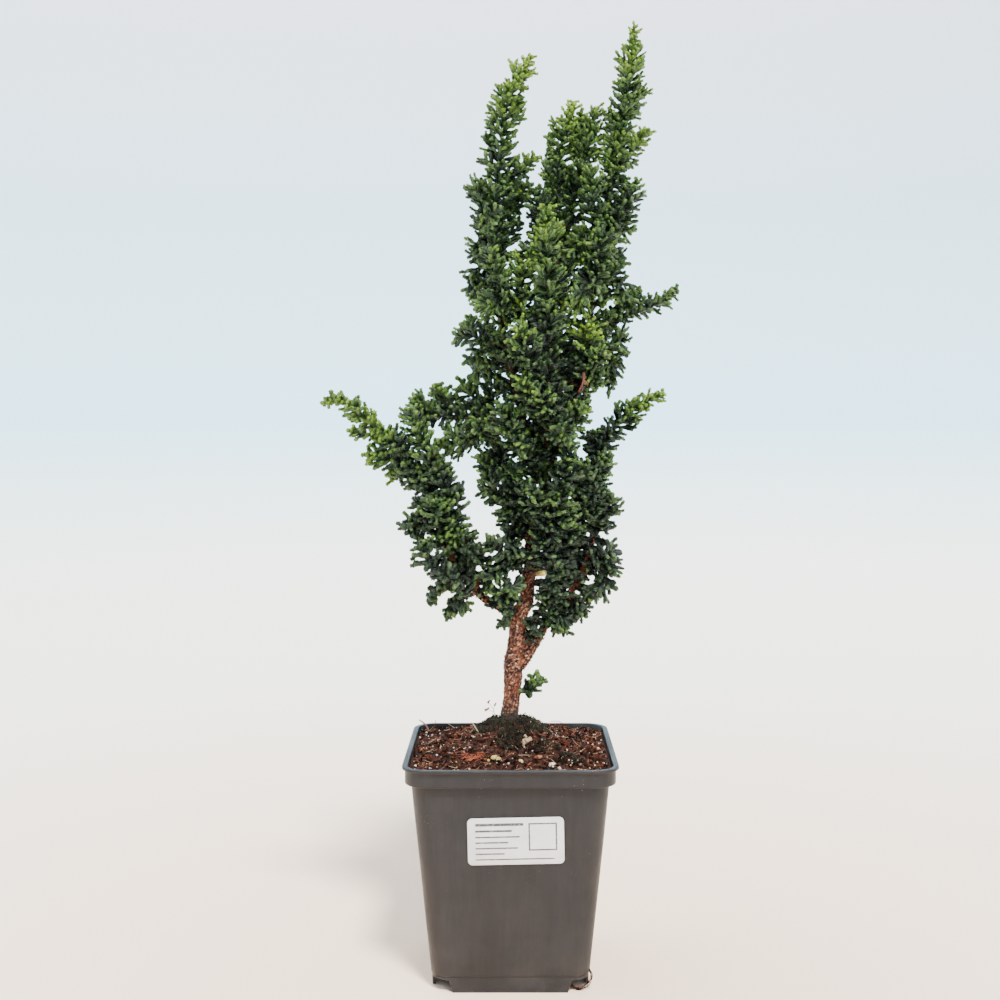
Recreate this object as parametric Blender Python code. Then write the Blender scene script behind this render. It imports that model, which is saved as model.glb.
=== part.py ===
"""Hinoki cypress bonsai in a square nursery pot.

Lengths are in millimetres, and MM turns them into metres as each mesh is made.
The pot stands on z = 0 with its middle at x = y = 0, and its front faces -Y.
"""

import math

import bmesh
import bpy
import numpy as np
from mathutils import Vector
from mathutils.bvhtree import BVHTree

MM = 0.001

# Places on the plant are written as seen from the front: x and z in the trunk's plane,
# and how far behind that plane the point lies along the line of sight.
EYE_DISTANCE = 759.0
EYE_HEIGHT = 299.0

# Pot
POT_HEIGHT = 120.0
RIM_WIDTH = 113.4
RIM_THICKNESS = 1.6
BAND_WIDTH = 110.4
BAND_BOTTOM = 111.0
BODY_TOP_WIDTH = 104.2
BODY_FOOT_WIDTH = 84.0
FOOT_WIDTH = 82.6
FOOT_HEIGHT = 8.7
POT_WALL = 1.4
CORNER_RADIUS = 12.5
CORNER_STEPS = 3
EDGE_ROUNDING = 0.4
FLOOR_BOTTOM = 6.5
FLOOR_TOP = 8.0
SKIRT_HALF_TOP = 32.6
SKIRT_HALF_FOOT = 30.0
PAD_WIDTH = 40.0
WELL_WIDTH = 37.0
WELL_FLOOR = 1.5
DRAIN_RADIUS = 4.5
DRAIN_OFFSET = 30.0
DRAIN_SIDES = 12
CUT_MARGIN = 2.0
SHARP_ANGLE = math.radians(40.0)

# Soil
FIT_GAP = 0.3
SOIL_POINTS = 24
SOIL_EDGE_HEIGHT = 117.0
MOUND_HEIGHT = 133.6
MOUND_RADIUS = 11.0
MOUND_FALL = 1.8
TRUNK_FOOT = 112.0
TRUNK_HOLE_RADIUS = 6.3
TRUNK_HOLE_RIM = 1.5
SOIL_SHARES = (1.0, 0.82, 0.58, 0.34, 0.14, 0.0)
SOIL_BUMP = 1.1
PLUG_CORNER = 1.0

# Label
LABEL_WIDTH = 50.0
LABEL_HEIGHT = 25.0
LABEL_THICKNESS = 0.35
LABEL_CORNER = 2.5
LABEL_X = 2.8
LABEL_Z = 82.0
LABEL_TURN = math.radians(1.2)

# Wood and shoots
SEED = 1961
CURVE_STEP = 1.0
TRUNK_SIDES = 8
TRUNK_SPAN = 15.0
TRUNK_UNEVEN = 0.06
BRANCH_SIDES = 5
BRANCH_SPAN = 16.0
TWIG_SIDES = 3
TWIG_RADIUS = 1.3
TWIG_LENGTH = 3.0
FORK_RADIUS = 1.04
FORK_ZONE = 0.6
TIP_CLEARANCE = 12.0
NODE_GAP = 0.32

# Leafy stems: a slim core, ringed by branchlets that lean forward
RING_STEP = 5.85
REACH_STATIONS = (0.0, 0.12, 0.75, 1.0)
REACH_FULLNESS = (0.85, 0.95, 0.85)
REACH_TAPER = 0.7
SLIM_REACH = 7.0
WIDE_REACH = 11.0
CORE_STATIONS = (0.0, 0.2, 0.7, 1.0)
CORE_SHARE = 0.4
CORE_FADE = 0.9
CORE_TIP_RADIUS = 1.0
LEAST_RADIUS = 0.9
TIP_LENGTH = 6.0
LEAST_TIP_LENGTH = 2.0
LEAN_AT_FOOT = math.radians(58.0)
LEAN_AT_TIP = math.radians(38.0)
UNEVEN = 0.22
CLUMPS = 0.14
CLUMP_LENGTH = 23.0
SIDE_UNEVEN = 0.25
LEAN_UNEVEN = 0.15
CLEARING_ROUNDS = 24
CLEARING_SHARE = 0.86
CLEARING_SKIN = 0.2
STANDING_OUT = 1.3
COURSE_GAP = 1.5
COURSE_BENDS = (0.0, 3.0, 6.0, 9.0, 12.0)
COURSE_TURNS = 8
CHORD_POINTS = 60
ROD_STEP = 4.0
ROD_MARGIN = 2.0
LEAVE_START = 3.0
LEAVE_STEP = 2.0
LENGTH_WEIGHT = 0.12

TRUNK = [
    (-0.2, 112, 0, 6.0),
    (-0.4, 124, 0, 5.7),
    (-0.5, 136, 0, 5.0),
    (0.9, 149, 0, 4.6),
    (1.4, 158, 0, 5.2),
    (1.5, 165, 0, 5.4),
    (3.6, 178, 0, 4.9),
    (4.7, 192, 0, 4.8),
    (8.9, 200, 0, 4.2),
    (9.3, 210, 0, 4.0),
    (11.4, 220, 0, 3.8),
    (11.0, 231, 0, 3.2),
    (16, 250, 0, 3.0),
    (21, 272, 0, 2.8),
    (25, 295, 0, 2.6),
    (27, 317, 1, 2.3),
    (26, 340, 4, 2.1),
    (25, 365, 8, 1.9),
    (26, 400, 10, 1.5),
]


def shoot(x, z, away, reach, lean=40, arch=0, forks=()):
    """A side shoot: its tip, how far its fans reach, its lean off the host, its upward arch."""
    return dict(tip=(x, z, away), reach=reach, lean=lean, arch=arch, forks=forks)


# Each branch: where it leaves the wood, the wood's course, then the course of the leafy
# leader that goes on from it; the wood's radius at both ends; the leader's reach at both ends.
BRANCHES = {
    "left_leader": dict(
        wood=[(19, 262, 0), (10, 290, -2), (2, 320, -5), (-4, 350, -7), (-8.5, 380, -8), (-10, 398, -8)],
        leader=[(-8, 425, -8), (-5.5, 447, -8), (-3, 471, -8), (4, 488, -8), (11.5, 501, -8)],
        radii=(2.4, 1.3), reach=(12, 4), forks=[shoot(13, 446, -10, 8)]),
    "right_leader": dict(
        wood=[(26, 300, 0), (38, 318, -4), (43, 345, -6), (46, 375, -5), (50, 405, -2)],
        leader=[(56, 437, 0), (62, 467, 0), (66, 490, 0), (67.5, 505, 0), (68.5, 518, 0)],
        radii=(2.5, 1.3), reach=(11, 4),
        forks=[shoot(73, 483, 2, 7, lean=20), shoot(54, 470, 3, 8), shoot(75, 460, -3, 8, lean=25)]),
    "right_arm": dict(
        wood=[(1.4, 162, 0), (7, 166, 0), (14.6, 178, 0), (18.5, 185, 1), (27, 197, 2), (38, 212, 4),
              (45, 232, 4), (48, 247, 3)],
        leader=[(48, 262, 3), (51, 285, 2), (61, 299, 1), (72, 309, 0), (84, 314, 0)],
        radii=(2.9, 1.4), reach=(9, 4), forks=[shoot(45, 293, 4, 9, lean=30)]),
    "left_arm": dict(
        wood=[(4.7, 190, 0), (-3, 195, -1), (-14, 201, -2), (-19, 206, -2), (-31, 222, -2),
              (-40, 240, -2), (-47, 258, -3)],
        leader=[(-54, 275, -4), (-63, 287, -4), (-76, 297, -5), (-89, 308, -6), (-97, 312, -6),
                (-103, 309, -6)],
        radii=(2.8, 1.4), reach=(8, 3.5),
        forks=[shoot(-88, 294, -9, 5, lean=20), shoot(-78, 280, -2, 9, lean=30),
               shoot(-66, 270, 3, 8, lean=50)]),
    "inner_arm": dict(
        wood=[(23, 284, 0), (5, 291, 2), (-12, 298, 4), (-22, 301, 5)],
        leader=[(-30, 302, 5), (-42, 303, 4), (-53, 307, 2)],
        radii=(1.9, 1.2), reach=(10.5, 8), forks=[shoot(-42, 318, 6, 8)]),
    "front_branch": dict(
        wood=[(21, 272, 0), (20, 295, -14), (22, 318, -21), (22, 334, -23)],
        leader=[(21, 365, -26), (20.5, 392, -27), (19.7, 417.6, -25)],
        radii=(1.9, 1.2), reach=(11, 6), forks=[]),
    "back_branch": dict(
        wood=[(20, 267, 0), (18, 290, 18), (20, 330, 29), (21, 350, 31)],
        leader=[(24, 375, 32), (26, 410, 34), (23, 440, 34)],
        radii=(2.1, 1.2), reach=(12, 8), forks=[shoot(37, 398, 30, 10)]),
}
TRUNK_LEADER = [(26, 430, 10), (28.5, 453, 10), (31, 466, 9), (34.5, 475, 8)]
TRUNK_REACH = (11, 5)

# Side shoots by the branch that carries them, from the top down.
SIDE_SHOOTS = {
    "left_leader": [
        shoot(-17, 432, -10, 9, forks=[shoot(-12, 412, -20, 9)]),
        shoot(-19, 398, -2, 9, forks=[shoot(-18, 372, -10, 9, lean=60)]),
        shoot(0, 430, 14, 10, forks=[shoot(8, 429, 10, 9)]),
        shoot(-14, 395, 24, 10, forks=[shoot(-9, 415, 24, 8)]),
        shoot(8, 387, -25, 10, forks=[shoot(-14, 362, -22, 10), shoot(11, 357, -20, 10, lean=60),
                                 shoot(-12, 392, -22, 9)]),
        shoot(-25, 351, -8, 10, lean=60, arch=6, forks=[shoot(-14, 325, 4, 10, lean=70)]),
        shoot(-14, 352, 24, 10, lean=55, forks=[shoot(-4, 334, 24, 10)]),
    ],
    "trunk": [
        shoot(47, 472, 6, 10, lean=22, forks=[shoot(39, 468, 14, 9)]),
        shoot(22, 455, 6, 6, forks=[shoot(14, 428, -5, 9)]),
        shoot(18, 420, 33, 9, forks=[shoot(9, 390, 36, 9)]),
        shoot(-7, 307, -22, 10.5, lean=50, forks=[shoot(6, 288, -27, 9)]),
        shoot(28, 256, -26, 11, lean=55, forks=[shoot(12, 262, -27, 10), shoot(34, 286, -24, 9)]),
        shoot(-15, 279, -8, 10, forks=[shoot(2, 273, -12, 10, lean=30)]),
        shoot(24, 262, 24, 11, lean=50, forks=[shoot(38, 276, 18, 10)]),
        shoot(1, 262, 22, 10, lean=50, forks=[shoot(-9, 290, 18, 9)]),
        shoot(-12, 233, -12, 9, lean=60, forks=[shoot(-13, 211, -14, 9, lean=60), shoot(2, 230, -16, 8)]),
        shoot(14.5, 155, -3, 7, lean=70),
    ],
    "right_leader": [
        shoot(70, 432, -4, 9, forks=[shoot(63, 406, 4, 9)]),
        shoot(45, 436, -11, 10, lean=25, forks=[shoot(37, 386, -16, 10, lean=60)]),
        shoot(57, 384, -7, 10.5, forks=[shoot(59, 367, -10, 9)]),
        shoot(60, 420, 20, 10, forks=[shoot(57, 386, 25, 10)]),
        shoot(52, 402, -25, 10, forks=[shoot(36, 362, -24, 11)]),
        shoot(92, 372, -6, 7, lean=62, arch=-2, forks=[shoot(68, 367, 4, 9, lean=15)]),
        shoot(63, 345, -4, 9, lean=70, arch=5, forks=[shoot(54, 320, 2, 9, lean=60)]),
        shoot(50, 338, -26, 10, forks=[shoot(46, 323, -18, 8, lean=60), shoot(41, 354, -20, 10)]),
        shoot(48, 352, 26, 11, lean=45),
    ],
    "right_arm": [
        shoot(54, 281, -8, 9, forks=[shoot(45, 270, 8, 9)]),
        shoot(56, 258, -8, 9, lean=45, forks=[shoot(42, 272, -12, 9)]),
        shoot(56, 227, -5, 10, lean=60, forks=[shoot(44, 205, 3, 10, lean=60)]),
        shoot(40, 194, -1, 8, lean=95, arch=3),
        shoot(29, 187, -5, 9, lean=100, arch=3),
        shoot(24, 224, -13, 10, lean=45, forks=[shoot(34, 252, -14, 9), shoot(17, 235, -18, 10)]),
        shoot(38, 240, 26, 10, forks=[shoot(48, 222, 24, 9), shoot(22, 222, 22, 9)]),
    ],
    "left_arm": [
        shoot(-56, 303, -9, 10, lean=25, forks=[shoot(-38, 274, -3, 8, lean=50)]),
        shoot(-57, 242, -6, 9, lean=70, arch=5),
        shoot(-29, 238, -6, 8, lean=40, forks=[shoot(-18, 221, -8, 8), shoot(-40, 256, -14, 9)]),
        shoot(-34, 211, -4, 9, lean=80, arch=3, forks=[shoot(-43, 201, 2, 5), shoot(-50, 232, -12, 8)]),
        shoot(-35, 192, -3, 6, lean=105, arch=3, forks=[shoot(-24, 196, -8, 6)]),
        shoot(-1, 209, -17, 10, lean=80, forks=[shoot(-6, 187, -8, 5, lean=90)]),
        shoot(-34, 238, 20, 8, forks=[shoot(-48, 258, 18, 8)]),
    ],
    "inner_arm": [
        shoot(-39, 286, 0, 10, lean=105, arch=4, forks=[shoot(-24, 292, 9, 8), shoot(-15, 293, -8, 9)]),
        shoot(-27, 319, 10, 10, forks=[shoot(-6, 322, 2, 10)]),
    ],
    "front_branch": [
        shoot(5, 352, -36, 10, lean=35),
        shoot(17, 314, -38, 10.5, lean=45, forks=[shoot(6, 322, -33, 10)]),
        shoot(39, 306, -27, 10, lean=50, forks=[shoot(27, 292, -34, 10)]),
    ],
    "back_branch": [
        shoot(2, 345, 38, 10.5, lean=50, forks=[shoot(7, 305, 38, 10, lean=60)]),
        shoot(40, 345, 42, 10.5, lean=50, forks=[shoot(37, 302, 36, 10.5, lean=60)]),
    ],
}

COLOURS = {
    "pot": ((0.098, 0.095, 0.102), 0.55),
    "soil": ((0.095, 0.042, 0.026), 0.95),
    "label": ((0.86, 0.82, 0.82), 0.6),
    "trunk_and_branches": ((0.17, 0.075, 0.045), 0.85),
    "foliage": ((0.035, 0.11, 0.035), 0.6),
}


# Vectors and curves


def unit(vector):
    """The vector at length one."""
    return vector / np.linalg.norm(vector)


def place(x, z, away=0.0):
    """The point seen at (x, z), pushed away from the eye along the line of sight."""
    share = (EYE_DISTANCE + away) / EYE_DISTANCE
    return np.array([x * share, away, EYE_HEIGHT + (z - EYE_HEIGHT) * share])


def smooth_curve(knots):
    """Points about CURVE_STEP apart on the Catmull-Rom curve through the knots."""
    knots = [np.asarray(k, float) for k in knots]
    ends = [2 * knots[0] - knots[1]] + knots + [2 * knots[-1] - knots[-2]]
    points = []
    for a, b, c, d in zip(ends, ends[1:], ends[2:], ends[3:]):
        steps = max(2, round(np.linalg.norm(c[:3] - b[:3]) / CURVE_STEP))
        for t in np.arange(steps) / steps:
            points.append(0.5 * (2 * b + (c - a) * t + (2 * a - 5 * b + 4 * c - d) * t * t
                                 + (3 * b - a - 3 * c + d) * t ** 3))
    points.append(knots[-1])
    return np.array(points)


def arched_curve(start, middle, end):
    """Points about CURVE_STEP apart on the arc that starts towards the middle point."""
    steps = max(4, round(np.linalg.norm(end - start) / CURVE_STEP))
    t = np.linspace(0.0, 1.0, steps + 1)[:, None]
    return (1 - t) ** 2 * start + 2 * t * (1 - t) * middle + t * t * end


def lengths_along(points):
    """Distance from the curve's start to each of its points."""
    return np.concatenate([[0.0], np.cumsum(np.linalg.norm(np.diff(points, axis=0), axis=1))])


def point_at(points, distance):
    """The curve's point and direction at a distance from its start."""
    along = lengths_along(points)
    here = np.array([np.interp(distance, along, points[:, i]) for i in range(3)])
    index = int(np.clip(np.searchsorted(along, distance), 1, len(points) - 1))
    return here, unit(points[index] - points[index - 1])


def part_of(points, start, end, step):
    """The stretch of a curve between two distances, as points about one step apart."""
    count = max(1, round((end - start) / step))
    return np.array([point_at(points, d)[0] for d in np.linspace(start, end, count + 1)])


def side_of(direction):
    """A unit vector square to the direction, towards +X where it can be."""
    rough = np.array([1.0, 0.0, 0.0]) if abs(direction[0]) < 0.9 else np.array([0.0, 1.0, 0.0])
    return unit(rough - direction * rough.dot(direction))


def turned(vector, axis, angle):
    """The vector turned about a unit axis."""
    return (vector * math.cos(angle) + np.cross(axis, vector) * math.sin(angle)
            + axis * axis.dot(vector) * (1 - math.cos(angle)))


# Room between the pieces


def segment_gaps(start, end, starts, ends):
    """Shortest distance from one segment to each of many others."""
    d1, d2, r = end - start, ends - starts, start - starts
    a, e = max(d1.dot(d1), 1e-9), np.maximum((d2 * d2).sum(1), 1e-9)
    b, c, f = d2 @ d1, r @ d1, (d2 * r).sum(1)
    denominator = np.maximum(a * e - b * b, 1e-9)
    s = np.clip((b * f - c * e) / denominator, 0, 1)
    t = np.clip((b * s + f) / e, 0, 1)
    s = np.clip((b * t - c) / a, 0, 1)
    near = start + s[:, None] * d1
    other = starts + t[:, None] * d2
    return np.linalg.norm(near - other, axis=1)


class Room:
    """The round-ended rods that stand for all that is already placed."""

    def __init__(self):
        self.starts, self.ends, self.radii, self.owners = [], [], [], []
        self.arrays = None

    def add(self, owner, rods):
        for start, end, radius in rods:
            self.starts.append(start)
            self.ends.append(end)
            self.radii.append(radius)
            self.owners.append(owner)
        self.arrays = None

    def slack(self, rods, ignore=()):
        """The least gap between these rods and what other owners have placed."""
        if self.arrays is None:
            self.arrays = (np.array(self.starts), np.array(self.ends), np.array(self.radii),
                           np.array(self.owners))
        starts, ends, radii, owners = self.arrays
        keep = ~np.isin(owners, list(ignore))
        if not keep.any():
            return math.inf
        starts, ends, radii = starts[keep], ends[keep], radii[keep]
        least = math.inf
        for start, end, radius in rods:
            least = min(least, (segment_gaps(start, end, starts, ends) - radii).min() - radius)
        return least


def rods_along(points, first_radius, last_radius):
    """Rods along a row of points, tapering from the first to the last."""
    radii = np.linspace(first_radius, last_radius, len(points))
    return [(a, b, max(r, s)) for a, b, r, s in zip(points, points[1:], radii, radii[1:])]


# Bodies as vertices and faces


def tube(points, radii, sides, uneven=0.0, rng=None):
    """A tube with flat ends through the points."""
    points = np.asarray(points)
    tangents = np.gradient(points, axis=0)
    side = side_of(unit(tangents[0]))
    vertices = []
    for point, tangent, radius in zip(points, tangents, radii):
        tangent = unit(tangent)
        side = unit(side - tangent * side.dot(tangent))
        other = np.cross(tangent, side)
        for k in range(sides):
            angle = 2 * math.pi * k / sides
            reach = radius * (1 + (rng.uniform(-uneven, uneven) if uneven else 0.0))
            vertices.append(point + reach * (side * math.cos(angle) + other * math.sin(angle)))
    return vertices, loft_faces(len(points), sides)


def loft_faces(rings, sides):
    """Faces of a closed loft whose rings run anticlockwise seen from its last end."""
    faces = [tuple(reversed(range(sides)))]
    for ring in range(rings - 1):
        low, high = ring * sides, (ring + 1) * sides
        for k in range(sides):
            n = (k + 1) % sides
            faces.append((low + k, low + n, high + n, high + k))
    faces.append(tuple(range((rings - 1) * sides, rings * sides)))
    return faces


def rounded_square(half, corner, z):
    """Points round a square with rounded corners, anticlockwise from above."""
    points = []
    for quarter in range(4):
        for step in range(CORNER_STEPS + 1):
            angle = math.pi / 2 * (quarter + step / CORNER_STEPS)
            turn = math.pi / 2 * quarter + math.pi / 4
            middle = (half - corner) * math.sqrt(2)
            points.append((middle * math.cos(turn) + corner * math.cos(angle),
                           middle * math.sin(turn) + corner * math.sin(angle), z))
    return points


def loft(rings):
    """A closed body through rings of equal point count, capped at both ends."""
    vertices = [point for ring in rings for point in ring]
    return vertices, loft_faces(len(rings), len(rings[0]))


# Objects


def material(name):
    """The Principled material of one object."""
    key = name if name in COLOURS else "foliage"
    colour, roughness = COLOURS[key]
    made = bpy.data.materials.new(name)
    made.use_nodes = True
    shader = made.node_tree.nodes["Principled BSDF"]
    shader.inputs["Base Color"].default_value = (*colour, 1.0)
    shader.inputs["Roughness"].default_value = roughness
    shader.inputs["Metallic"].default_value = 0.0
    return made


def make_object(name, body, collection=None):
    """An object from vertices in millimetres and faces."""
    vertices, faces = body
    mesh = bpy.data.meshes.new(name)
    mesh.from_pydata([Vector(v) * MM for v in vertices], [], faces)
    mesh.update()
    made = bpy.data.objects.new(name, mesh)
    (collection or bpy.context.scene.collection).objects.link(made)
    return made


def shade_smooth(thing):
    """Shades a piece smooth, apart from its sharp edges."""
    thing.data.polygons.foreach_set("use_smooth", [True] * len(thing.data.polygons))
    thing.data.set_sharp_from_angle(angle=SHARP_ANGLE)


def cut(thing, cutter):
    """Cuts a hidden body out of an object."""
    cutter.hide_render = True
    cutter.display_type = "WIRE"
    modifier = thing.modifiers.new(cutter.name, "BOOLEAN")
    modifier.operation = "DIFFERENCE"
    modifier.solver = "EXACT"
    modifier.object = cutter


def fuse(name, bodies, solver):
    """One object that is the union of many bodies."""
    base = make_object(name, bodies[0])
    if len(bodies) > 1:
        group = bpy.data.collections.new(name + "_pieces")
        for index, body in enumerate(bodies[1:]):
            make_object(f"{name}_piece_{index}", body, group)
        modifier = base.modifiers.new("join", "BOOLEAN")
        modifier.operation = "UNION"
        modifier.operand_type = "COLLECTION"
        modifier.collection = group
        modifier.solver = solver
        bpy.context.scene.collection.children.link(group)
        bpy.context.view_layer.update()
        whole = bpy.data.meshes.new_from_object(base.evaluated_get(bpy.context.evaluated_depsgraph_get()))
        base.modifiers.clear()
        base.data = whole
        for piece in list(group.objects):
            bpy.data.objects.remove(piece)
        bpy.data.collections.remove(group)
    whole = bmesh.new()
    whole.from_mesh(base.data)
    bmesh.ops.triangulate(whole, faces=whole.faces)
    whole.to_mesh(base.data)
    whole.free()
    base.data.materials.clear()
    base.data.materials.append(material(name))
    return base


# Pot


def body_half_width(z):
    """Half of the pot body's outer width at a height."""
    share = (z - FOOT_HEIGHT) / (BAND_BOTTOM - FOOT_HEIGHT)
    return (BODY_FOOT_WIDTH + (BODY_TOP_WIDTH - BODY_FOOT_WIDTH) * share) / 2


def inner_half_width(z):
    """Half of the pot's inner width at a height."""
    if z > BAND_BOTTOM:
        return BAND_WIDTH / 2 - POT_WALL
    return body_half_width(z) - POT_WALL


def pot_rings():
    """Rings up the pot's outside, over its rim and down its inside."""
    rim, band, foot = RIM_WIDTH / 2, BAND_WIDTH / 2, FOOT_WIDTH / 2
    mouth = inner_half_width(POT_HEIGHT)
    rim_under = POT_HEIGHT - RIM_THICKNESS
    edge = EDGE_ROUNDING
    outside = [
        (foot, 0.0),
        (foot + edge / 2, FOOT_HEIGHT - edge),
        (BODY_FOOT_WIDTH / 2, FOOT_HEIGHT),
        (body_half_width(BAND_BOTTOM - 2 * edge), BAND_BOTTOM - 2 * edge),
        (band - edge, BAND_BOTTOM - edge),
        (band, BAND_BOTTOM + edge),
        (band, rim_under - edge),
        (rim - edge, rim_under),
        (rim, rim_under + edge),
        (rim, POT_HEIGHT - edge),
        (rim - edge, POT_HEIGHT),
    ]
    inside = [
        (mouth + edge, POT_HEIGHT),
        (mouth, POT_HEIGHT - edge),
        (mouth, BAND_BOTTOM + edge),
        (inner_half_width(BAND_BOTTOM - edge), BAND_BOTTOM - edge),
        (inner_half_width(FLOOR_TOP), FLOOR_TOP),
    ]
    rings = [rounded_square(half, corner_at(half), z) for half, z in outside]
    rings += [rounded_square(half, corner_at(half) - POT_WALL, z) for half, z in inside]
    return rings


def corner_at(half):
    """Corner radius that grows a little with the pot's width."""
    return CORNER_RADIUS * half / (RIM_WIDTH / 2)


def square(half, z):
    """A sharp square ring."""
    return [(half, half, z), (-half, half, z), (-half, -half, z), (half, -half, z)]


def circle(x, y, z, radius, points):
    """A level ring of points, anticlockwise from above."""
    angles = [2 * math.pi * k / points for k in range(points)]
    return [(x + radius * math.cos(angle), y + radius * math.sin(angle), z) for angle in angles]


def underside_cutter():
    """The space under the floor, between the skirts and the middle pad."""
    outer, inner = FOOT_WIDTH / 2 - POT_WALL, PAD_WIDTH / 2
    rings = [square(outer, -CUT_MARGIN), square(outer, FLOOR_BOTTOM),
             square(inner, FLOOR_BOTTOM), square(inner, -CUT_MARGIN)]
    vertices, faces = loft(rings)
    last = len(vertices) - 4
    underside = [(last + k, last + (k + 1) % 4, (k + 1) % 4, k) for k in range(4)]
    return vertices, faces[1:-1] + underside


def corner_cutter(turn):
    """The open corner of the foot, in the quarter that the turn gives."""
    far = RIM_WIDTH / 2
    slope = (SKIRT_HALF_TOP - SKIRT_HALF_FOOT) / FLOOR_BOTTOM
    rings = []
    for z in (-CUT_MARGIN, FLOOR_BOTTOM):
        near = SKIRT_HALF_FOOT + slope * z
        ring = [(near, near), (far, near), (far, far), (near, far)]
        rings.append([(x * math.cos(turn) - y * math.sin(turn),
                       x * math.sin(turn) + y * math.cos(turn), z) for x, y in ring])
    return loft(rings)


def drain_cutter(x, y):
    """One round drain hole through the floor."""
    heights = (FLOOR_BOTTOM - CUT_MARGIN, FLOOR_TOP + CUT_MARGIN)
    return loft([circle(x, y, z, DRAIN_RADIUS, DRAIN_SIDES) for z in heights])


def make_pot():
    """The moulded pot, with its foot cut open underneath."""
    pot = make_object("pot", loft(pot_rings()))
    pot.data.materials.append(material("pot"))
    shade_smooth(pot)
    cut(pot, make_object("cut_underside", underside_cutter()))
    for quarter in range(4):
        turn = quarter * math.pi / 2
        cut(pot, make_object(f"cut_corner_{quarter}", corner_cutter(turn)))
        x = DRAIN_OFFSET * (1 if quarter in (0, 3) else -1)
        y = DRAIN_OFFSET * (1 if quarter < 2 else -1)
        cut(pot, make_object(f"cut_drain_{quarter}", drain_cutter(x, y)))
    well = loft([square(WELL_WIDTH / 2, z) for z in (WELL_FLOOR, FLOOR_TOP + CUT_MARGIN)])
    cut(pot, make_object("cut_well", well))
    return pot


# Soil


def soil_outline(half, corner, z):
    """A rounded square with one point at each of SOIL_POINTS bearings."""
    ring = []
    for k in range(SOIL_POINTS):
        angle = 2 * math.pi * k / SOIL_POINTS
        c, s = abs(math.cos(angle)), abs(math.sin(angle))
        reach = half / max(c, s)
        inner = half - corner
        if reach * min(c, s) > inner:
            b = inner * (c + s)
            reach = b + math.sqrt(max(b * b - 2 * inner * inner + corner * corner, 0.0))
        ring.append((reach * math.cos(angle), reach * math.sin(angle), z))
    return ring


def soil_bump(x, y):
    """Uneven height of the soil's surface."""
    wave = math.sin(0.31 * x + 1.1) * math.cos(0.27 * y - 0.4) + 0.6 * math.sin(0.55 * x - 0.48 * y)
    return SOIL_BUMP * wave


def soil_top_ring(share):
    """A ring on the soil's surface: share 1 at the pot's wall, 0 at the mound's top."""
    wall = soil_outline(inner_half_width(POT_HEIGHT) - FIT_GAP, CORNER_RADIUS - POT_WALL, 0.0)
    ring = []
    for k, (wx, wy, _) in enumerate(wall):
        angle = 2 * math.pi * k / SOIL_POINTS
        x = share * wx + (1 - share) * MOUND_RADIUS * math.cos(angle)
        y = share * wy + (1 - share) * MOUND_RADIUS * math.sin(angle)
        rise = (MOUND_HEIGHT - SOIL_EDGE_HEIGHT) * (1 - share) ** MOUND_FALL
        fade = min(1.0, 4 * (1 - share)) * min(1.0, 0.3 + share)
        ring.append((x, y, SOIL_EDGE_HEIGHT + rise + fade * soil_bump(x, y)))
    return ring


def make_soil():
    """The pot's filling, with a plain hole for the trunk."""
    plug = WELL_WIDTH / 2 - FIT_GAP
    bottom = FLOOR_TOP + FIT_GAP
    under_ledge = BAND_BOTTOM - EDGE_ROUNDING
    foot_half = inner_half_width(bottom) - FIT_GAP
    top_half = inner_half_width(under_ledge) - FIT_GAP
    band_half = inner_half_width(POT_HEIGHT) - FIT_GAP
    rings = [
        soil_outline(plug, PLUG_CORNER, WELL_FLOOR + FIT_GAP),
        soil_outline(plug, PLUG_CORNER, bottom),
        soil_outline(foot_half, corner_at(foot_half) - POT_WALL, bottom),
        soil_outline(top_half, corner_at(top_half) - POT_WALL, under_ledge),
        soil_outline(band_half, corner_at(band_half) - POT_WALL, BAND_BOTTOM + EDGE_ROUNDING + FIT_GAP),
    ]
    rings += [soil_top_ring(share) for share in SOIL_SHARES]
    for z in (MOUND_HEIGHT - TRUNK_HOLE_RIM, TRUNK_FOOT - 2 * FIT_GAP):
        x, y = trunk_middle(z)
        rings.append(circle(x, y, z, TRUNK_HOLE_RADIUS + 2 * FIT_GAP, SOIL_POINTS))
    soil = make_object("soil", loft(rings))
    soil.data.materials.append(material("soil"))
    return soil


def trunk_middle(z):
    """The trunk's middle at a height."""
    curve = trunk_curve()
    return curve[int(np.argmin(abs(curve[:, 2] - z))), :2]


# Label


def make_label():
    """The sticker on the front wall, turned a little and leaning as the wall does."""
    half_width, half_height = LABEL_WIDTH / 2, LABEL_HEIGHT / 2
    ring = []
    for quarter, (sx, sy) in enumerate(((1, 1), (-1, 1), (-1, -1), (1, -1))):
        for step in range(CORNER_STEPS + 1):
            angle = math.pi / 2 * (quarter + step / CORNER_STEPS)
            ring.append((sx * (half_width - LABEL_CORNER) + LABEL_CORNER * math.cos(angle),
                         sy * (half_height - LABEL_CORNER) + LABEL_CORNER * math.sin(angle)))
    rings = [[(x, y, z) for x, y in ring] for z in (0.0, LABEL_THICKNESS)]
    label = make_object("label", loft(rings))
    label.data.materials.append(material("label"))
    slope = math.atan((BODY_TOP_WIDTH - BODY_FOOT_WIDTH) / 2 / (BAND_BOTTOM - FOOT_HEIGHT))
    off = FIT_GAP / math.cos(slope)
    label.location = (LABEL_X * MM, -(body_half_width(LABEL_Z) + off) * MM, LABEL_Z * MM)
    label.rotation_euler = (math.pi / 2 + slope, -LABEL_TURN, 0.0)
    return label


# Wood


def trunk_curve():
    """The trunk's middle line, with its radius as the fourth number."""
    knots = [np.append(place(x, z, away), radius) for x, z, away, radius in TRUNK]
    return smooth_curve(knots)


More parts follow.
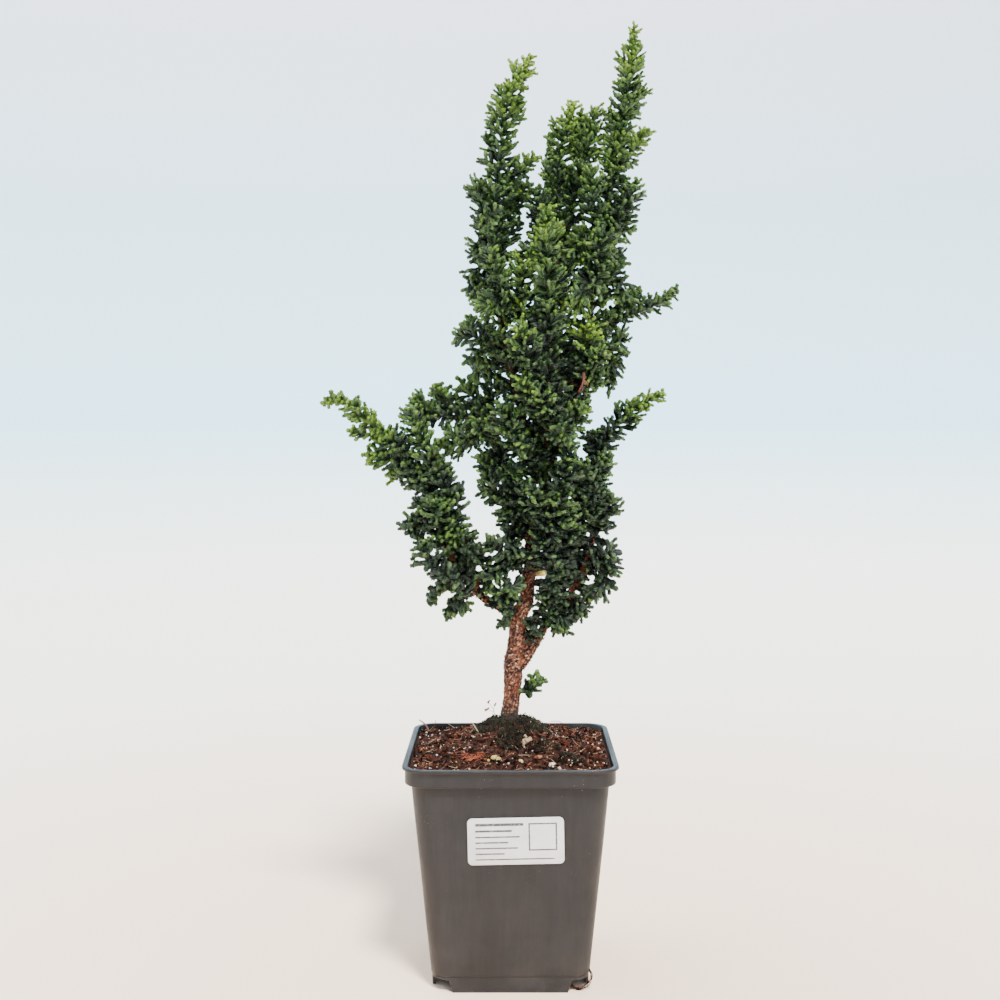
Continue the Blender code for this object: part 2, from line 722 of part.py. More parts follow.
class Branch:
    """A branch's course, where its wood ends, and the leader that goes on from it."""

    def __init__(self, name, wood, leader, reach, forks=()):
        self.name = name
        self.reach = reach
        self.forks = forks
        self.radii = ((0.0, 1.0), (1.0, 1.0))
        wood_points = [place(*knot) for knot in wood]
        self.curve = smooth_curve(wood_points + [place(*knot) for knot in leader])
        nearest = np.argmin(np.linalg.norm(self.curve - wood_points[-1], axis=1))
        self.wood_end = lengths_along(self.curve)[nearest]

    def radius_at(self, distance):
        return float(np.interp(distance, *self.radii))


def all_branches():
    """The trunk and its branches."""
    radii = trunk_curve()[:, 3]
    along = lengths_along(trunk_curve()[:, :3])
    trunk_knots = [knot[:3] for knot in TRUNK]
    trunk = Branch("trunk", trunk_knots, TRUNK_LEADER, TRUNK_REACH)
    trunk.radii = (along, radii)
    branches = {"trunk": trunk}
    for name, row in BRANCHES.items():
        branch = Branch(name, row["wood"], row["leader"], row["reach"], row["forks"])
        branch.radii = ((0.0, branch.wood_end), row["radii"])
        branches[name] = branch
    return branches


def branch_body(branch, rng):
    """The wood of one branch."""
    if branch.name == "trunk":
        sides, span, uneven = TRUNK_SIDES, TRUNK_SPAN, TRUNK_UNEVEN
    else:
        sides, span, uneven = BRANCH_SIDES, BRANCH_SPAN, 0.0
    points = part_of(branch.curve, 0.0, branch.wood_end, span)
    distances = np.linspace(0.0, branch.wood_end, len(points))
    radii = [branch.radius_at(d) for d in distances]
    return tube(points, radii, sides, uneven, rng), rods_along(points, radii[0], radii[-1])


# Shoots


class Stem:
    """One leafy stem: its course, where its green starts, and the branchlets round it."""

    def __init__(self, node, curve, green_start, reach, thick):
        self.node = node
        self.curve = curve
        self.length = lengths_along(curve)[-1]
        self.green_start = green_start
        self.reach = reach
        self.thick = thick
        self.tip_length = TIP_LENGTH

    def rods(self):
        """The stem's core as rods."""
        points = part_of(self.curve, self.green_start, self.length - ROD_MARGIN, RING_STEP)
        return rods_along(points, self.thick, self.thick)

    def grow(self, rng):
        """Sets out the rings: even points are branchlets, odd ones lie on the core."""
        last = max(self.length - TIP_LENGTH, self.green_start + RING_STEP)
        steps = max(2, round((last - self.green_start) / RING_STEP))
        self.distances = np.linspace(self.green_start, last, steps + 1)
        pairs = 3 if self.reach[0] < SLIM_REACH else 4 if self.reach[0] < WIDE_REACH else 5
        self.sides = 2 * pairs
        shape = (steps + 1, self.sides)
        share = np.linspace(0.0, 1.0, steps + 1)[:, None] * np.ones(shape)
        low, middle, high = REACH_FULLNESS
        reach = np.interp(share, REACH_STATIONS,
                          (self.thick, self.reach[0] * low, self.reach[0] * middle, self.reach[1] * high))
        thickest = CORE_SHARE * self.reach[0]
        self.core = np.interp(share, CORE_STATIONS,
                              (self.thick, thickest, thickest * CORE_FADE, CORE_TIP_RADIUS))
        ring, side = np.indices(shape)
        is_branchlet = ((ring + side) % 2 == 0) & (ring > 0)
        uneven = rng.uniform(1 - UNEVEN, 1 + UNEVEN, shape)
        uneven *= 1 + CLUMPS * np.sin(2 * math.pi * (self.distances[:, None] / CLUMP_LENGTH + rng.uniform()))
        self.radii = np.where(is_branchlet, np.maximum(reach * uneven, self.core), self.core)
        self.radii[0] = self.thick
        self.angles = (side + rng.uniform(-SIDE_UNEVEN, SIDE_UNEVEN, shape)) * 2 * math.pi / self.sides
        self.angles += rng.uniform(0, 2 * math.pi)
        self.angles[0] = side[0] * 2 * math.pi / self.sides + self.angles[1, 0]
        self.leans = np.interp(share, (0, 1), (LEAN_AT_FOOT, LEAN_AT_TIP))
        self.leans *= rng.uniform(1 - LEAN_UNEVEN, 1 + LEAN_UNEVEN, shape)

    def body(self, skin=0.0):
        """Vertices and triangles, with a skin added all round when room is being made."""
        vertices, faces = [], []
        first = side_of(point_at(self.curve, self.distances[0])[1])
        for distance, radii, angles, leans, cores in zip(
                self.distances, self.radii, self.angles, self.leans, self.core):
            centre, tangent = point_at(self.curve, distance)
            first = unit(first - tangent * first.dot(tangent))
            other = np.cross(tangent, first)
            for radius, angle, lean, core in zip(radii, angles, leans, cores):
                outward = first * math.cos(angle) + other * math.sin(angle)
                ahead = max(radius - core, 0.0) / math.tan(lean)
                vertices.append(centre + outward * (radius + skin) + tangent * ahead)
        vertices.append(centre + tangent * (self.tip_length + skin))
        sides = self.sides
        faces.append(tuple(reversed(range(sides))))
        for ring in range(len(self.distances) - 1):
            for k in range(sides):
                n = (k + 1) % sides
                a, b = ring * sides + k, ring * sides + n
                c, d = b + sides, a + sides
                if (ring + k) % 2:
                    faces += [(a, b, c), (a, c, d)]
                else:
                    faces += [(a, b, d), (b, c, d)]
        top = (len(self.distances) - 1) * sides
        faces += [(top + k, top + (k + 1) % sides, len(vertices) - 1) for k in range(sides)]
        return vertices, faces

    def stands_out(self, face):
        """Whether a face belongs to a branchlet well off the core, past the stem's foot."""
        count = len(self.distances) * self.sides
        if min(face) < 2 * self.sides:
            return False
        return any(self.radii[divmod(v, self.sides)] > STANDING_OUT * self.core[divmod(v, self.sides)]
                   for v in face if v < count)

    def draw_in(self, face):
        """Draws in the vertex of a face that stands out furthest; tells whether it could."""
        count = len(self.distances) * self.sides
        inner = [v for v in face if v < count]
        ring, side = max((divmod(v, self.sides) for v in inner),
                         key=lambda at: self.radii[at] / max(self.core[at], 0.1))
        if self.radii[ring, side] <= LEAST_RADIUS:
            return False
        self.radii[ring, side] = max(self.radii[ring, side] * CLEARING_SHARE, LEAST_RADIUS)
        if any(v >= count for v in face):
            self.tip_length = max(self.tip_length * CLEARING_SHARE, LEAST_TIP_LENGTH)
        return True


def leave_host(curve, last, tip, lean):
    """Distance along the host at which a shoot to the tip leans off it by the angle."""
    along = lengths_along(curve)
    best, chosen = math.inf, 0.0
    for distance in np.arange(LEAVE_START, last, LEAVE_STEP):
        here, direction = point_at(curve, distance)
        towards = unit(tip - here)
        error = abs(math.degrees(math.acos(np.clip(towards.dot(direction), -1, 1))) - lean)
        error += LENGTH_WEIGHT * np.linalg.norm(tip - here)
        if error < best:
            best, chosen = error, distance
    return min(chosen, along[-1])


def clear_of(course, host, thick):
    """Distance along a course at which a twig has come free of its host's side."""
    gaps = np.linalg.norm(course[:, None] - host[None], axis=2).min(axis=1)
    free = np.nonzero(gaps > thick + TWIG_RADIUS + 2 * NODE_GAP)[0]
    return lengths_along(course)[free[0]] if len(free) else 0.0


def clear_course(room, start, tip, arch, skip, free, thick):
    """A course from start to tip that keeps clear of what is placed, bent where it must be."""
    chord = unit(tip - start)
    upward = np.array([0.0, 0.0, 1.0]) - chord * chord[2]
    upward = unit(upward) if np.linalg.norm(upward) > 0.05 else side_of(chord)
    best, chosen = -math.inf, None
    for bend in COURSE_BENDS:
        for turn in range(1 if bend == 0 else COURSE_TURNS):
            aside = turned(upward, chord, turn * 2 * math.pi / COURSE_TURNS) * bend
            middle = (start + tip) / 2 + upward * arch + aside
            curve = arched_curve(start, middle, tip)
            length = lengths_along(curve)[-1]
            rods = rods_along(part_of(curve, min(free, length / 2), length, ROD_STEP), thick, thick)
            slack = room.slack(rods, skip)
            if slack > COURSE_GAP:
                return curve
            if slack > best:
                best, chosen = slack, curve
    return chosen


def plan_stems(branches, room):
    """All leafy stems: the leaders first, then the side shoots and their forks."""
    stems, twigs = [], []
    for branch in branches.values():
        node = branch.name + "_shoot_00"
        stem = Stem(node, branch.curve, branch.wood_end + NODE_GAP, branch.reach,
                    branch.radius_at(branch.wood_end))
        stems.append(stem)
        room.add(node, stem.rods())
        stems += [fork_stem(stem, fork, room) for fork in branch.forks]
    for name, shoots in SIDE_SHOOTS.items():
        branch = branches[name]
        for index, row in enumerate(shoots, start=1):
            node = f"{name}_shoot_{index:02d}"
            tip = place(*row["tip"])
            leave = leave_host(branch.curve, branch.wood_end - TIP_CLEARANCE, tip, row["lean"])
            start, _ = point_at(branch.curve, leave)
            thick = branch.radius_at(leave)
            straight = np.linspace(start, tip, CHORD_POINTS)
            twig_end = max(thick + TWIG_LENGTH, clear_of(straight, branch.curve, thick))
            curve = clear_course(room, start, tip, row["arch"], (), twig_end, TWIG_RADIUS)
            twig_end = max(thick + TWIG_LENGTH, clear_of(curve, branch.curve, thick))
            twig = part_of(curve, 0.0, twig_end, TWIG_LENGTH)
            twigs.append(tube(twig, [TWIG_RADIUS] * len(twig), TWIG_SIDES))
            room.add("wood", rods_along(twig, TWIG_RADIUS, TWIG_RADIUS))
            reach = (row["reach"], row["reach"] * REACH_TAPER)
            stem = Stem(node, curve, twig_end + NODE_GAP, reach, TWIG_RADIUS)
            stems.append(stem)
            room.add(node, stem.rods())
            stems += [fork_stem(stem, fork, room) for fork in row["forks"]]
    return stems, twigs


def fork_stem(host, row, room):
    """A stem that forks from another leafy stem and shares its node."""
    tip = place(*row["tip"])
    green = part_of(host.curve, host.green_start, host.length, CURVE_STEP)
    leave = leave_host(green, FORK_ZONE * lengths_along(green)[-1], tip, row["lean"])
    start, _ = point_at(green, leave)
    curve = clear_course(room, start, tip, row["arch"], {host.node}, 1.0, TWIG_RADIUS)
    stem = Stem(host.node, curve, 0.0, (row["reach"], row["reach"] * REACH_TAPER), FORK_RADIUS)
    room.add(host.node, stem.rods())
    return stem


def boxes_meet(a, b):
    """Whether two boxes, each as its lowest and highest corner, overlap."""
    return bool((a[0] <= b[1]).all() and (b[0] <= a[1]).all())


def tree_of(body):
    """Search tree and box of a body."""
    vertices, faces = body
    points = np.array(vertices)
    tree = BVHTree.FromPolygons([Vector(v) for v in points], faces, all_triangles=False)
    return tree, (points.min(0), points.max(0))


def make_room(stems, fixed):
    """Draws in branchlets until no two nodes cross; fixed bodies stay as they are."""
    fixed_trees = [tree_of(body) for body in fixed]
    trees = [None] * len(stems)
    changed = set(range(len(stems)))
    for _ in range(CLEARING_ROUNDS):
        bodies = {i: stems[i].body(CLEARING_SKIN) for i in changed}
        for i, body in bodies.items():
            trees[i] = tree_of(body)
        faces = [stem.body(CLEARING_SKIN)[1] for stem in stems]
        crossed = set()
        for i, (tree, box) in enumerate(trees):
            for other, other_box in fixed_trees:
                if boxes_meet(box, other_box):
                    crossed |= {(i, a) for a, _ in tree.overlap(other)}
            for j in range(i):
                if boxes_meet(box, trees[j][1]):
                    crossed |= crossings(stems, i, j, trees, faces)
        changed = {i for i, face in crossed if stems[i].draw_in(faces[i][face])}
        if not changed:
            break


def crossings(stems, i, j, trees, faces):
    """The faces of two stems that cross, apart from a fork's foot in its own host."""
    found = set()
    same_node = stems[i].node == stems[j].node
    for a, b in trees[i][0].overlap(trees[j][0]):
        pair = {(i, a), (j, b)}
        if same_node:
            pair = {(k, face) for k, face in pair if stems[k].stands_out(faces[k][face])}
        found |= pair
    return found


def make_plant():
    """The wood as one node, and the leafy stems in theirs."""
    rng = np.random.default_rng(SEED)
    room = Room()
    branches = all_branches()
    wood = []
    for branch in branches.values():
        body, rods = branch_body(branch, rng)
        wood.append(body)
        room.add("wood", rods)
    stems, twigs = plan_stems(branches, room)
    shade_smooth(fuse("trunk_and_branches", wood + twigs, "MANIFOLD"))
    for stem in stems:
        stem.grow(rng)
    make_room(stems, wood + twigs)
    nodes = {}
    for stem in stems:
        nodes.setdefault(stem.node, []).append(stem.body())
    for node, bodies in nodes.items():
        fuse(node, bodies, "MANIFOLD")


def main():
    for thing in list(bpy.data.objects):
        bpy.data.objects.remove(thing)
    make_pot()
    make_soil()
    make_label()
    make_plant()


main()
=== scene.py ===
"""The fine pieces, materials, light and camera of a hinoki cypress bonsai in its pot.

Lengths are in millimetres, and MM turns them into metres as each mesh is made.
The courses of the trunk, the branches and the leafy stems are worked out from the same
places as the solids, so that each fine piece grows where its solid is.
"""

import math

import bpy
import numpy as np
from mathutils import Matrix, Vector, noise


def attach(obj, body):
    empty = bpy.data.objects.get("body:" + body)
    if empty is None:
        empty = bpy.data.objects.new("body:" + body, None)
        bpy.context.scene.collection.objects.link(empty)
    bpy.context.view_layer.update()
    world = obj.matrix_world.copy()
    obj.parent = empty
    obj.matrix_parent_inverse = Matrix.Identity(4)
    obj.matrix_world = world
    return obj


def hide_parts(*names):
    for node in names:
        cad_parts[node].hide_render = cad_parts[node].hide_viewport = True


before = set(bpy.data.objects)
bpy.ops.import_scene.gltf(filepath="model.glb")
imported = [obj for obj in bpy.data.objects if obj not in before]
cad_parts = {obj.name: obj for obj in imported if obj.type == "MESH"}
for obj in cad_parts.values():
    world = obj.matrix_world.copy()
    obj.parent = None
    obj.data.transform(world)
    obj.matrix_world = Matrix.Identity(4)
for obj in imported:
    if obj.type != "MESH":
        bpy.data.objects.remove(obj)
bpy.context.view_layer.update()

MM = 0.001
SEED = 1961
UP = np.array([0.0, 0.0, 1.0])
GOLDEN_ANGLE = math.pi * (3 - math.sqrt(5))

# Places on the plant are written as seen from the front: x and z in the trunk's plane,
# and how far behind that plane the point lies along the line of sight.
EYE_DISTANCE = 759.0
EYE_HEIGHT = 299.0
CAMERA_SENSOR = 36.0
CAMERA_LENS = 49.32
CAMERA_SHIFT = (-0.0105, -0.078)

# Pot
POT_HEIGHT = 120.0
RIM_WIDTH = 113.4
RIM_THICKNESS = 1.6
BAND_WIDTH = 110.4
BAND_BOTTOM = 111.0
BODY_TOP_WIDTH = 104.2
BODY_FOOT_WIDTH = 84.0
FOOT_WIDTH = 82.6
FOOT_HEIGHT = 8.7
POT_WALL = 1.4
CORNER_RADIUS = 12.5
CORNER_STEPS = 10
SIDE_STEPS = 9
WALL_STEPS = 12
INSIDE_RING_HEIGHT = 60.0
# The thin wall bulges in and out a little, less towards its foot and its rim.
WALL_WAVE = 0.18
WAVE_ACROSS = 0.04
WAVE_UP = 0.025
WAVE_FADE_FOOT = 25.0
WAVE_FADE_RIM = 6.0
WAVE_AT_RIM = 0.3
FLOOR_BOTTOM = 6.5
FLOOR_TOP = 8.0
SKIRT_HALF_TOP = 32.6
SKIRT_HALF_FOOT = 30.0
PAD_WIDTH = 40.0
WELL_WIDTH = 37.0
WELL_FLOOR = 1.5
DRAIN_RADIUS = 4.5
DRAIN_OFFSET = 30.0
DRAIN_SIDES = 28
EDGE_ROUNDING = 0.4
CUT_MARGIN = 2.0
SHARP_ANGLE = math.radians(40.0)
# Heights between which the dust and the pale film come in
DUSTY_WALL = (60.0, 118.0)
FILM_AT_FOOT = (30.0, 0.0)

# Label
LABEL_WIDTH = 50.0
LABEL_HEIGHT = 25.0
LABEL_THICKNESS = 0.35
LABEL_CORNER = 2.5
LABEL_X = 2.8
LABEL_Z = 82.0
LABEL_TURN = math.radians(1.2)
# Ruled lines as height, end and thickness, all from one margin; lengths from the label's middle.
LABEL_MARGIN = -21.0
LABEL_LINES = [(9.0, 4.0, 1.5), (5.6, -2.0, 1.1), (2.4, 2.0, 0.8), (-0.6, -4.0, 0.8),
               (-3.6, 1.0, 0.8), (-6.6, -6.0, 0.8), (-9.6, 20.0, 0.7)]
# The outlined box as its middle's x and y, its half width and its line's thickness.
LABEL_BOX = (14.0, 2.2, 7.4, 0.8)

# Soil
FIT_GAP = 0.3
SOIL_EDGE_HEIGHT = 117.0
MOUND_HEIGHT = 133.6
MOUND_RADIUS = 11.0
MOUND_FALL = 1.8
TRUNK_FOOT = 112.0
SOIL_BUMP = 1.1
SOIL_HOLE_RADIUS = 5.2
SOIL_BEARINGS = 168
SOIL_ANGLES = 2 * math.pi * np.arange(SOIL_BEARINGS) / SOIL_BEARINGS
SOIL_RINGS = 44
SOIL_LIP = 1.0
SOIL_HOLE_DEPTH = 6.0
CRUMB_HEIGHT = 0.9
CRUMB_SIZE = 2.6
CRUMB_ROUNDNESS = 0.7
CRUMB_ROUGHNESS = 0.5
CRUMB_DETAIL = 1.8
# The crumbs fade out towards the wall and, down to a share, towards the trunk.
CRUMB_FADE_WALL = 25
CRUMB_FADE_TRUNK = 6
CRUMBS_AT_TRUNK = 0.3
TRUNK_CLEAR = 6.6
WALL_CLEAR = 1.2
PLACES_MARGIN = 1.5

# Loose and growing bits on the soil. CHIP_SIZES and GRAIN_SIZES are the mean and the spread
# of the logarithm of a size.
LYING_TILT = (-0.3, 1.0)
LYING_RISE = 0.25
LYING_ROLL = 0.9
CHIPS = 3300
CHIP_SIZES = (-0.25, 0.5)
CHIP_LENGTH = 1.9
CHIP_RADIUS = 0.6
CHIP_SLIMNESS = 0.8
CHIP_TILT = 1.2
CHIP_RINGS = np.array([0.0, 0.45, 0.85])
CHIP_GIRTH = np.array([0.7, 1.0, 0.6])
FIBRES = 620
FIBRE_KNOT = 60
FIBRE_RINGS = np.array([0.0, 0.25, 0.5, 0.75])
FIBRE_GIRTH = np.array([0.8, 1.0, 1.0, 0.9])
FIBRE_LENGTH = (3.0, 9.0)
FIBRE_RADIUS = (0.08, 0.17)
FIBRE_LIFT = (0.4, 1.4)
FIBRE_BEND = 0.4
FIBRE_TILT = 0.35
RED_FIBRES = (-19.8, -34.0)
RED_FIBRES_SPREAD = (3.0, 1.2)
RED_FIBRE_LENGTH = (3.0, 7.0)
RED_FIBRE_RADIUS = (0.12, 0.22)
RED_FIBRE_LIFT = (0.6, 1.8)
RED_FIBRE_TILT = 0.3
RED_FIBRE_TONE = (1.2, 1.5)
GRAINS = 330
GRAIN_SIZES = (-0.95, 0.4)
GRAIN_LENGTH = 1.6
GRAIN_RADIUS = (0.7, 0.95)
GRAIN_BEND = 0.2
GRAIN_RISE = 0.3
GRAIN_LIFT = (0.2, 1.0)
GRAIN_RINGS = np.array([0.0, 0.2, 0.5, 0.8, 0.95])
GRAIN_GIRTH = np.array([0.45, 0.85, 1.0, 0.8, 0.4])
# Lumps as x, y, size and tone: 0 is white, 1 yellow, 2 tan. Smaller ones lie round each.
LUMPS = [(-9.0, -36.5, 1.8, 1.0), (-6.5, -37.5, 1.4, 1.0), (5.5, -38.5, 1.3, 0.9),
         (22.0, -44.0, 1.3, 0.0), (25.5, -45.0, 1.1, 0.2), (8.8, -21.5, 2.0, 2.0),
         (10.5, -20.0, 1.7, 2.0), (7.0, -23.5, 1.5, 1.8)]
LUMP_LIFT = 0.5
SMALL_LUMPS = 4
SMALL_LUMP_SIZE = 0.55
SMALL_LUMP_SPREAD = 0.5
# Moss patches as x, y, half width, half depth and how many tufts.
MOSS = [(0.5, -3.0, 22.0, 13.0, 800), (0.5, -21.0, 9.0, 8.0, 210), (18.0, -25.0, 9.0, 5.0, 90),
        (32.0, -34.0, 9.0, 6.0, 110), (14.0, 12.0, 15.0, 9.0, 90)]
MOSS_COVER = 0.75
MOSS_EDGE = 0.95
MOSS_HEIGHT = 2.5
MOSS_LEAST_HEIGHT = 1.0
MOSS_FALL = 0.4
MOSS_UNEVEN = (0.7, 1.25)
MOSS_LEAN = 0.3
MOSS_CLUMPS = 1.8
MOSS_CLUMP_SCALE = 0.4
MOSS_LEAF_LEVELS = np.arange(0.2, 1.0, 0.2)
MOSS_LEAF_LENGTH = (0.9, 1.6)
MOSS_LEAF_RADIUS = 0.24
MOSS_LEAF_RISE = (0.3, 1.1)
MOSS_LEAF_BEND = 0.4
MOSS_RINGS = np.array([0.0, 0.5])
MOSS_GIRTH = np.array([0.8, 1.0])
STRAND_SIDES = 6
STRAND_KNOTS = 12
# The dry seedling, the pale sprout, the wires of old stems and the curled leaf, each by its x and y.
# A strand is its knots from that place on the soil, its radius at both ends and its tone.
SPROUTS = {
    (-9.2, 2.0): [
        ([(0, 0, 0), (0.3, 0, 3), (-0.2, 0, 6), (0.4, 0, 8.2)], 0.18, 0.13, 0.15),
        ([(-0.2, 0, 6), (-1.4, 0, 7.8), (-2.9, 0.4, 9.6)], 0.13, 0.1, 0.15),
        ([(0.1, 0, 4.6), (-1.8, -0.3, 5.4), (-4.2, 0, 6)], 0.13, 0.11, 0.4),
        ([(-3.4, 0.4, 9.4), (-3, 0.4, 10.3), (-2.3, 0.4, 11)], 0.62, 0.35, 0.1),
        ([(0.4, 0, 8), (0.7, 0, 8.9), (1.3, 0, 9.8)], 0.55, 0.3, 0.1),
        ([(-5.2, 0, 5.6), (-3.8, 0, 6), (-2.7, 0, 7)], 0.8, 0.5, 0.75),
    ],
    (-17.3, -8.5): [
        ([(0, 0, 0), (-1.4, -0.4, 2.2), (-2.6, -0.6, 4.2), (-3.4, -0.6, 5.4)], 0.34, 0.2, 1.0),
    ],
    (29.8, 46.0): [
        ([(0, 0, 0), (0.6, 0, 3.4), (-0.8, 0, 5.6), (-6.4, 0, 5.8)], 0.2, 0.14, 0.05),
        ([(0.6, 0, 3.4), (-2.5, 0, 3.4), (-6.0, 0, 4.2)], 0.18, 0.12, 0.1),
    ],
    (-47.5, 37.0): [
        ([(0, 0, 0), (-0.8, 0, 3.2), (-2.8, 0, 6), (-5.6, 0, 8)], 0.7, 0.3, 0.75),
        ([(2.6, 0, 0), (2.8, 0, 3), (4.2, 0, 7.8)], 0.3, 0.14, 0.1),
    ],
}
# Fine roots that follow one loop, at the foot's corner, from where they leave the pot.
WISP_ROOTS = 15
WISP_LOOP = [(30.5, -35.5, 4.6), (33.0, -37.0, 1.6), (36.0, -38.0, 0.8), (40.0, -37.5, 2.6),
             (42.6, -37.0, 6.4), (42.0, -36.0, 9.6), (39.9, -35.0, 12.0), (39.2, -34.5, 10.2)]
WISP_STRAY = 0.45
WISP_FOOT_SPREAD = (2.5, 1.0, 0.8)
WISP_RADIUS = (0.14, 0.26)
WISP_TIP_RADIUS = 0.08
WISP_LEAST_HEIGHT = 0.3
WISP_TONE = (0.2, 0.9)

# Wood
CURVE_STEP = 1.0
WOOD_STEP = 3.0
TRUNK_SIDES = 16
BRANCH_SIDES = 12
TWIG_SIDES = 8
TWIG_RADIUS = 1.3
TWIG_LENGTH = 3.0
FORK_RADIUS = 1.04
FORK_ZONE = 0.6
TIP_CLEARANCE = 12.0
BLUNT_TIP = 0.6
NODE_GAP = 0.32
TRUNK_SPAN = 15.0
BRANCH_SPAN = 16.0
COLLAR = 0.3
COLLAR_LENGTH = 5.0
BARK_GRAIN = 0.85
PLATE_WIDTH = 1.9
PLATE_HEIGHT = 1.7
PLATE_EDGE = 2.2
PLATE_BEND = 0.55
PLATE_BEND_SCALE = 1.3
SHRED_SCALES = (2.6, 2.6, 0.9)
FINE_BARK_SCALE = 5.0
# The bark's relief as a base and the shares of plates, shreds and fine grain.
BARK_SHARES = (0.12, 0.55, 0.4, 0.16)
MIDDLE_RELIEF = 0.45
# How far the bark rises and sinks, by height on the plant.
BARK_HEIGHTS = (140.0, 230.0, 380.0)
BARK_RISES = (0.45, 0.27, 0.135)
# Where the bark is red near the soil, damp at the soil, and dark inside the crown, as heights.
RED_BARK_FOOT = (146.0, 151.0)
RED_BARK_TOP = (166.0, 160.0)
DAMP_BARK = (142.5, 137.0)
SHADED_BARK = (225.0, 265.0)
# Flakes by the wood that carries them, and the stretch of it where they peel.
FLAKES = {"trunk": 420, "right_arm": 90, "left_arm": 90}
FLAKE_REACH = {"trunk": (22.0, 190.0), "right_arm": (4.0, 70.0), "left_arm": (4.0, 60.0)}
FLAKE_ASIDE = (0.2, 1.0)
FLAKE_PEEL = 0.16
FLAKE_OFF = (-0.1, 0.25)
FLAKE_LENGTH = (0.8, 2.1)
FLAKE_RADIUS = (0.25, 0.6)
FLAKE_BEND = (-0.1, 0.15)
FLAKE_RELIEF = (0.35, 1.0)
STUB_FOOT = (12.0, 214.6, -3.0)
STUB_END = (19.2, 215.6, -13.0)
STUB_RADIUS = 1.6
STUB_GIRTH = np.array([0.8, 0.85, 0.95, 0.9, 1.05, 1.15, 0.8])
STUB_CLEARING = 4.5
STUB_CHECKS = (0.4, 0.7, 1.0)
STUB_PALING = (12.0, 19.5)

# Leafy stems
RING_STEP = 5.85
REACH_TAPER = 0.7
COURSE_GAP = 1.5
COURSE_BENDS = (0.0, 3.0, 6.0, 9.0, 12.0)
COURSE_TURNS = 8
CHORD_POINTS = 60
ROD_STEP = 4.0
ROD_MARGIN = 2.0
LEAVE_START = 3.0
LEAVE_STEP = 2.0
LENGTH_WEIGHT = 0.12
AXIS_STEP = 2.5
AXIS_MARGIN = 1.0
AXIS_RADIUS = 1.25
AXIS_TIP_RADIUS = 0.8
AXIS_GIRTH = (0.94, 1.08)
AXIS_YOUTH = 0.25
AXIS_BROWN = 0.7
AXIS_BROWN_END = 0.4
REACH_STATIONS = (0.0, 0.12, 0.75, 1.0)
REACH_FULLNESS = np.array([0.6, 0.9, 0.98, 0.85])
AZIMUTH_STRAY = 0.2
LEAN_UNEVEN = 0.2
UNEVEN = 0.2
CLUMPS = 0.14
CLUMP_LENGTH = 23.0
LEAN_AT_FOOT = math.radians(78.0)
LEAN_AT_TIP = math.radians(56.0)

# Fans of scale-leaved fingers on the leafy stems
FAN_SPACING = 1.04
FAN_LEAD = 2.5
WOOD_FAN_SPACING = 1.7
ARM_FAN_SPACING = 1.4
WOOD_FAN_REACH = (6.0, 12.0)
WOOD_FAN_LEAN = (50.0, 90.0)
WOOD_FAN_START = 4.0
WOOD_FAN_MARGIN = 2.0
WOOD_FAN_AGE = 0.3
WOOD_FAN_HEIGHTS = {"trunk": 236.0, "left_arm": 205.0, "right_arm": 190.0}
WOOD_FAN_HEIGHT = 240.0
FAN_ROLL = 0.55
FAN_SET_BACK = 2.0
FAN_UPWARD = 0.4
FAN_BEND = 0.22
LEAST_FAN = 2.6
FINGER_STEP = 2.4
FINGER_SPLAY = 0.34
FINGER_ANGLE = math.radians(39.0)
FINGER_ANGLE_UNEVEN = 0.25
FINGER_RADIUS = 1.22
FINGER_SIDES = 4
FINGER_RINGS = np.array([0.0, 0.22, 0.45, 0.68, 0.9])
FINGER_GIRTH = np.array([0.66, 0.84, 1.04, 0.96, 0.86])
FINGER_REACH = 0.62
FINGER_REACH_UNEVEN = 0.2
FINGER_COUNTS = (2, 6)
FINGER_ZONE = (0.24, 0.82)
FINGER_BEND = 0.2
FINGER_GIRTHS = (0.88, 1.1)
FINGER_YOUTH = (-0.05, 0.09)
FINGER_DECAY = (0.4, 1.0)
LEAST_FINGER = 3.1
LONGEST_FINGER = 0.8
LEAST_FANS = 14
SPINE_RINGS = np.array([0.0, 0.25, 0.5, 0.75, 0.93])
SPINE_GIRTH = np.array([1.1, 1.25, 1.2, 1.1, 0.8])
BEADS = 0.18
WITHER_CHANCE = 0.5
DROOP_HEIGHTS = (165.0, 188.0, 212.0, 285.0)
DROOPS = (0.0, 1.2, 0.55, 0.0)
DROOP_BEND = 0.3
DROOP_SHARE = (0.2, 1.0)
FLATNESS = 0.7
OUTER_YOUTH = 0.22
# The youth of leaves: its base, what it gains at a stem's tip, and what it gains with height.
BASE_YOUTH = 0.1
TIP_YOUTH_START = 0.5
LEADER_TIP_YOUTH = 0.4
SIDE_TIP_YOUTH = 0.2
YOUTH_HEIGHTS = (220.0, 280.0, 400.0, 500.0)
HEIGHT_YOUTH = (-0.08, 0.04, 0.14, 0.26)
# Young fans are slimmer than old ones.
SLIMMING_YOUTH = (0.1, 0.8)
SLIMNESS = (1.06, 0.9)
# Low in the crown the fingers are stouter and longer, most of all on the left arm.
STOUT_HEIGHTS = (158.0, 165.0, 205.0, 300.0)
STOUTNESS = (1.1, 0.8, 1.14, 1.0)
STOUT_SIDE = (-32.0, -22.0)
STOUT_LEFT = (1.16, 1.0)
STOUT_LENGTH = 0.4
# Where leaves have died and where they are fresh, as x, z and how far round.
BROWN_PATCHES = [(-9, 332, 7), (38, 316, 3.5), (-36, 249, 2), (13, 249, 2.5), (23, 238, 2.5)]
FRESH_PATCHES = [(3, 351, 9), (8, 325, 5), (-70, 297, 10), (45, 345, 7), (10, 305, 5), (15, 152, 6)]
FRESHNESS = 0.26
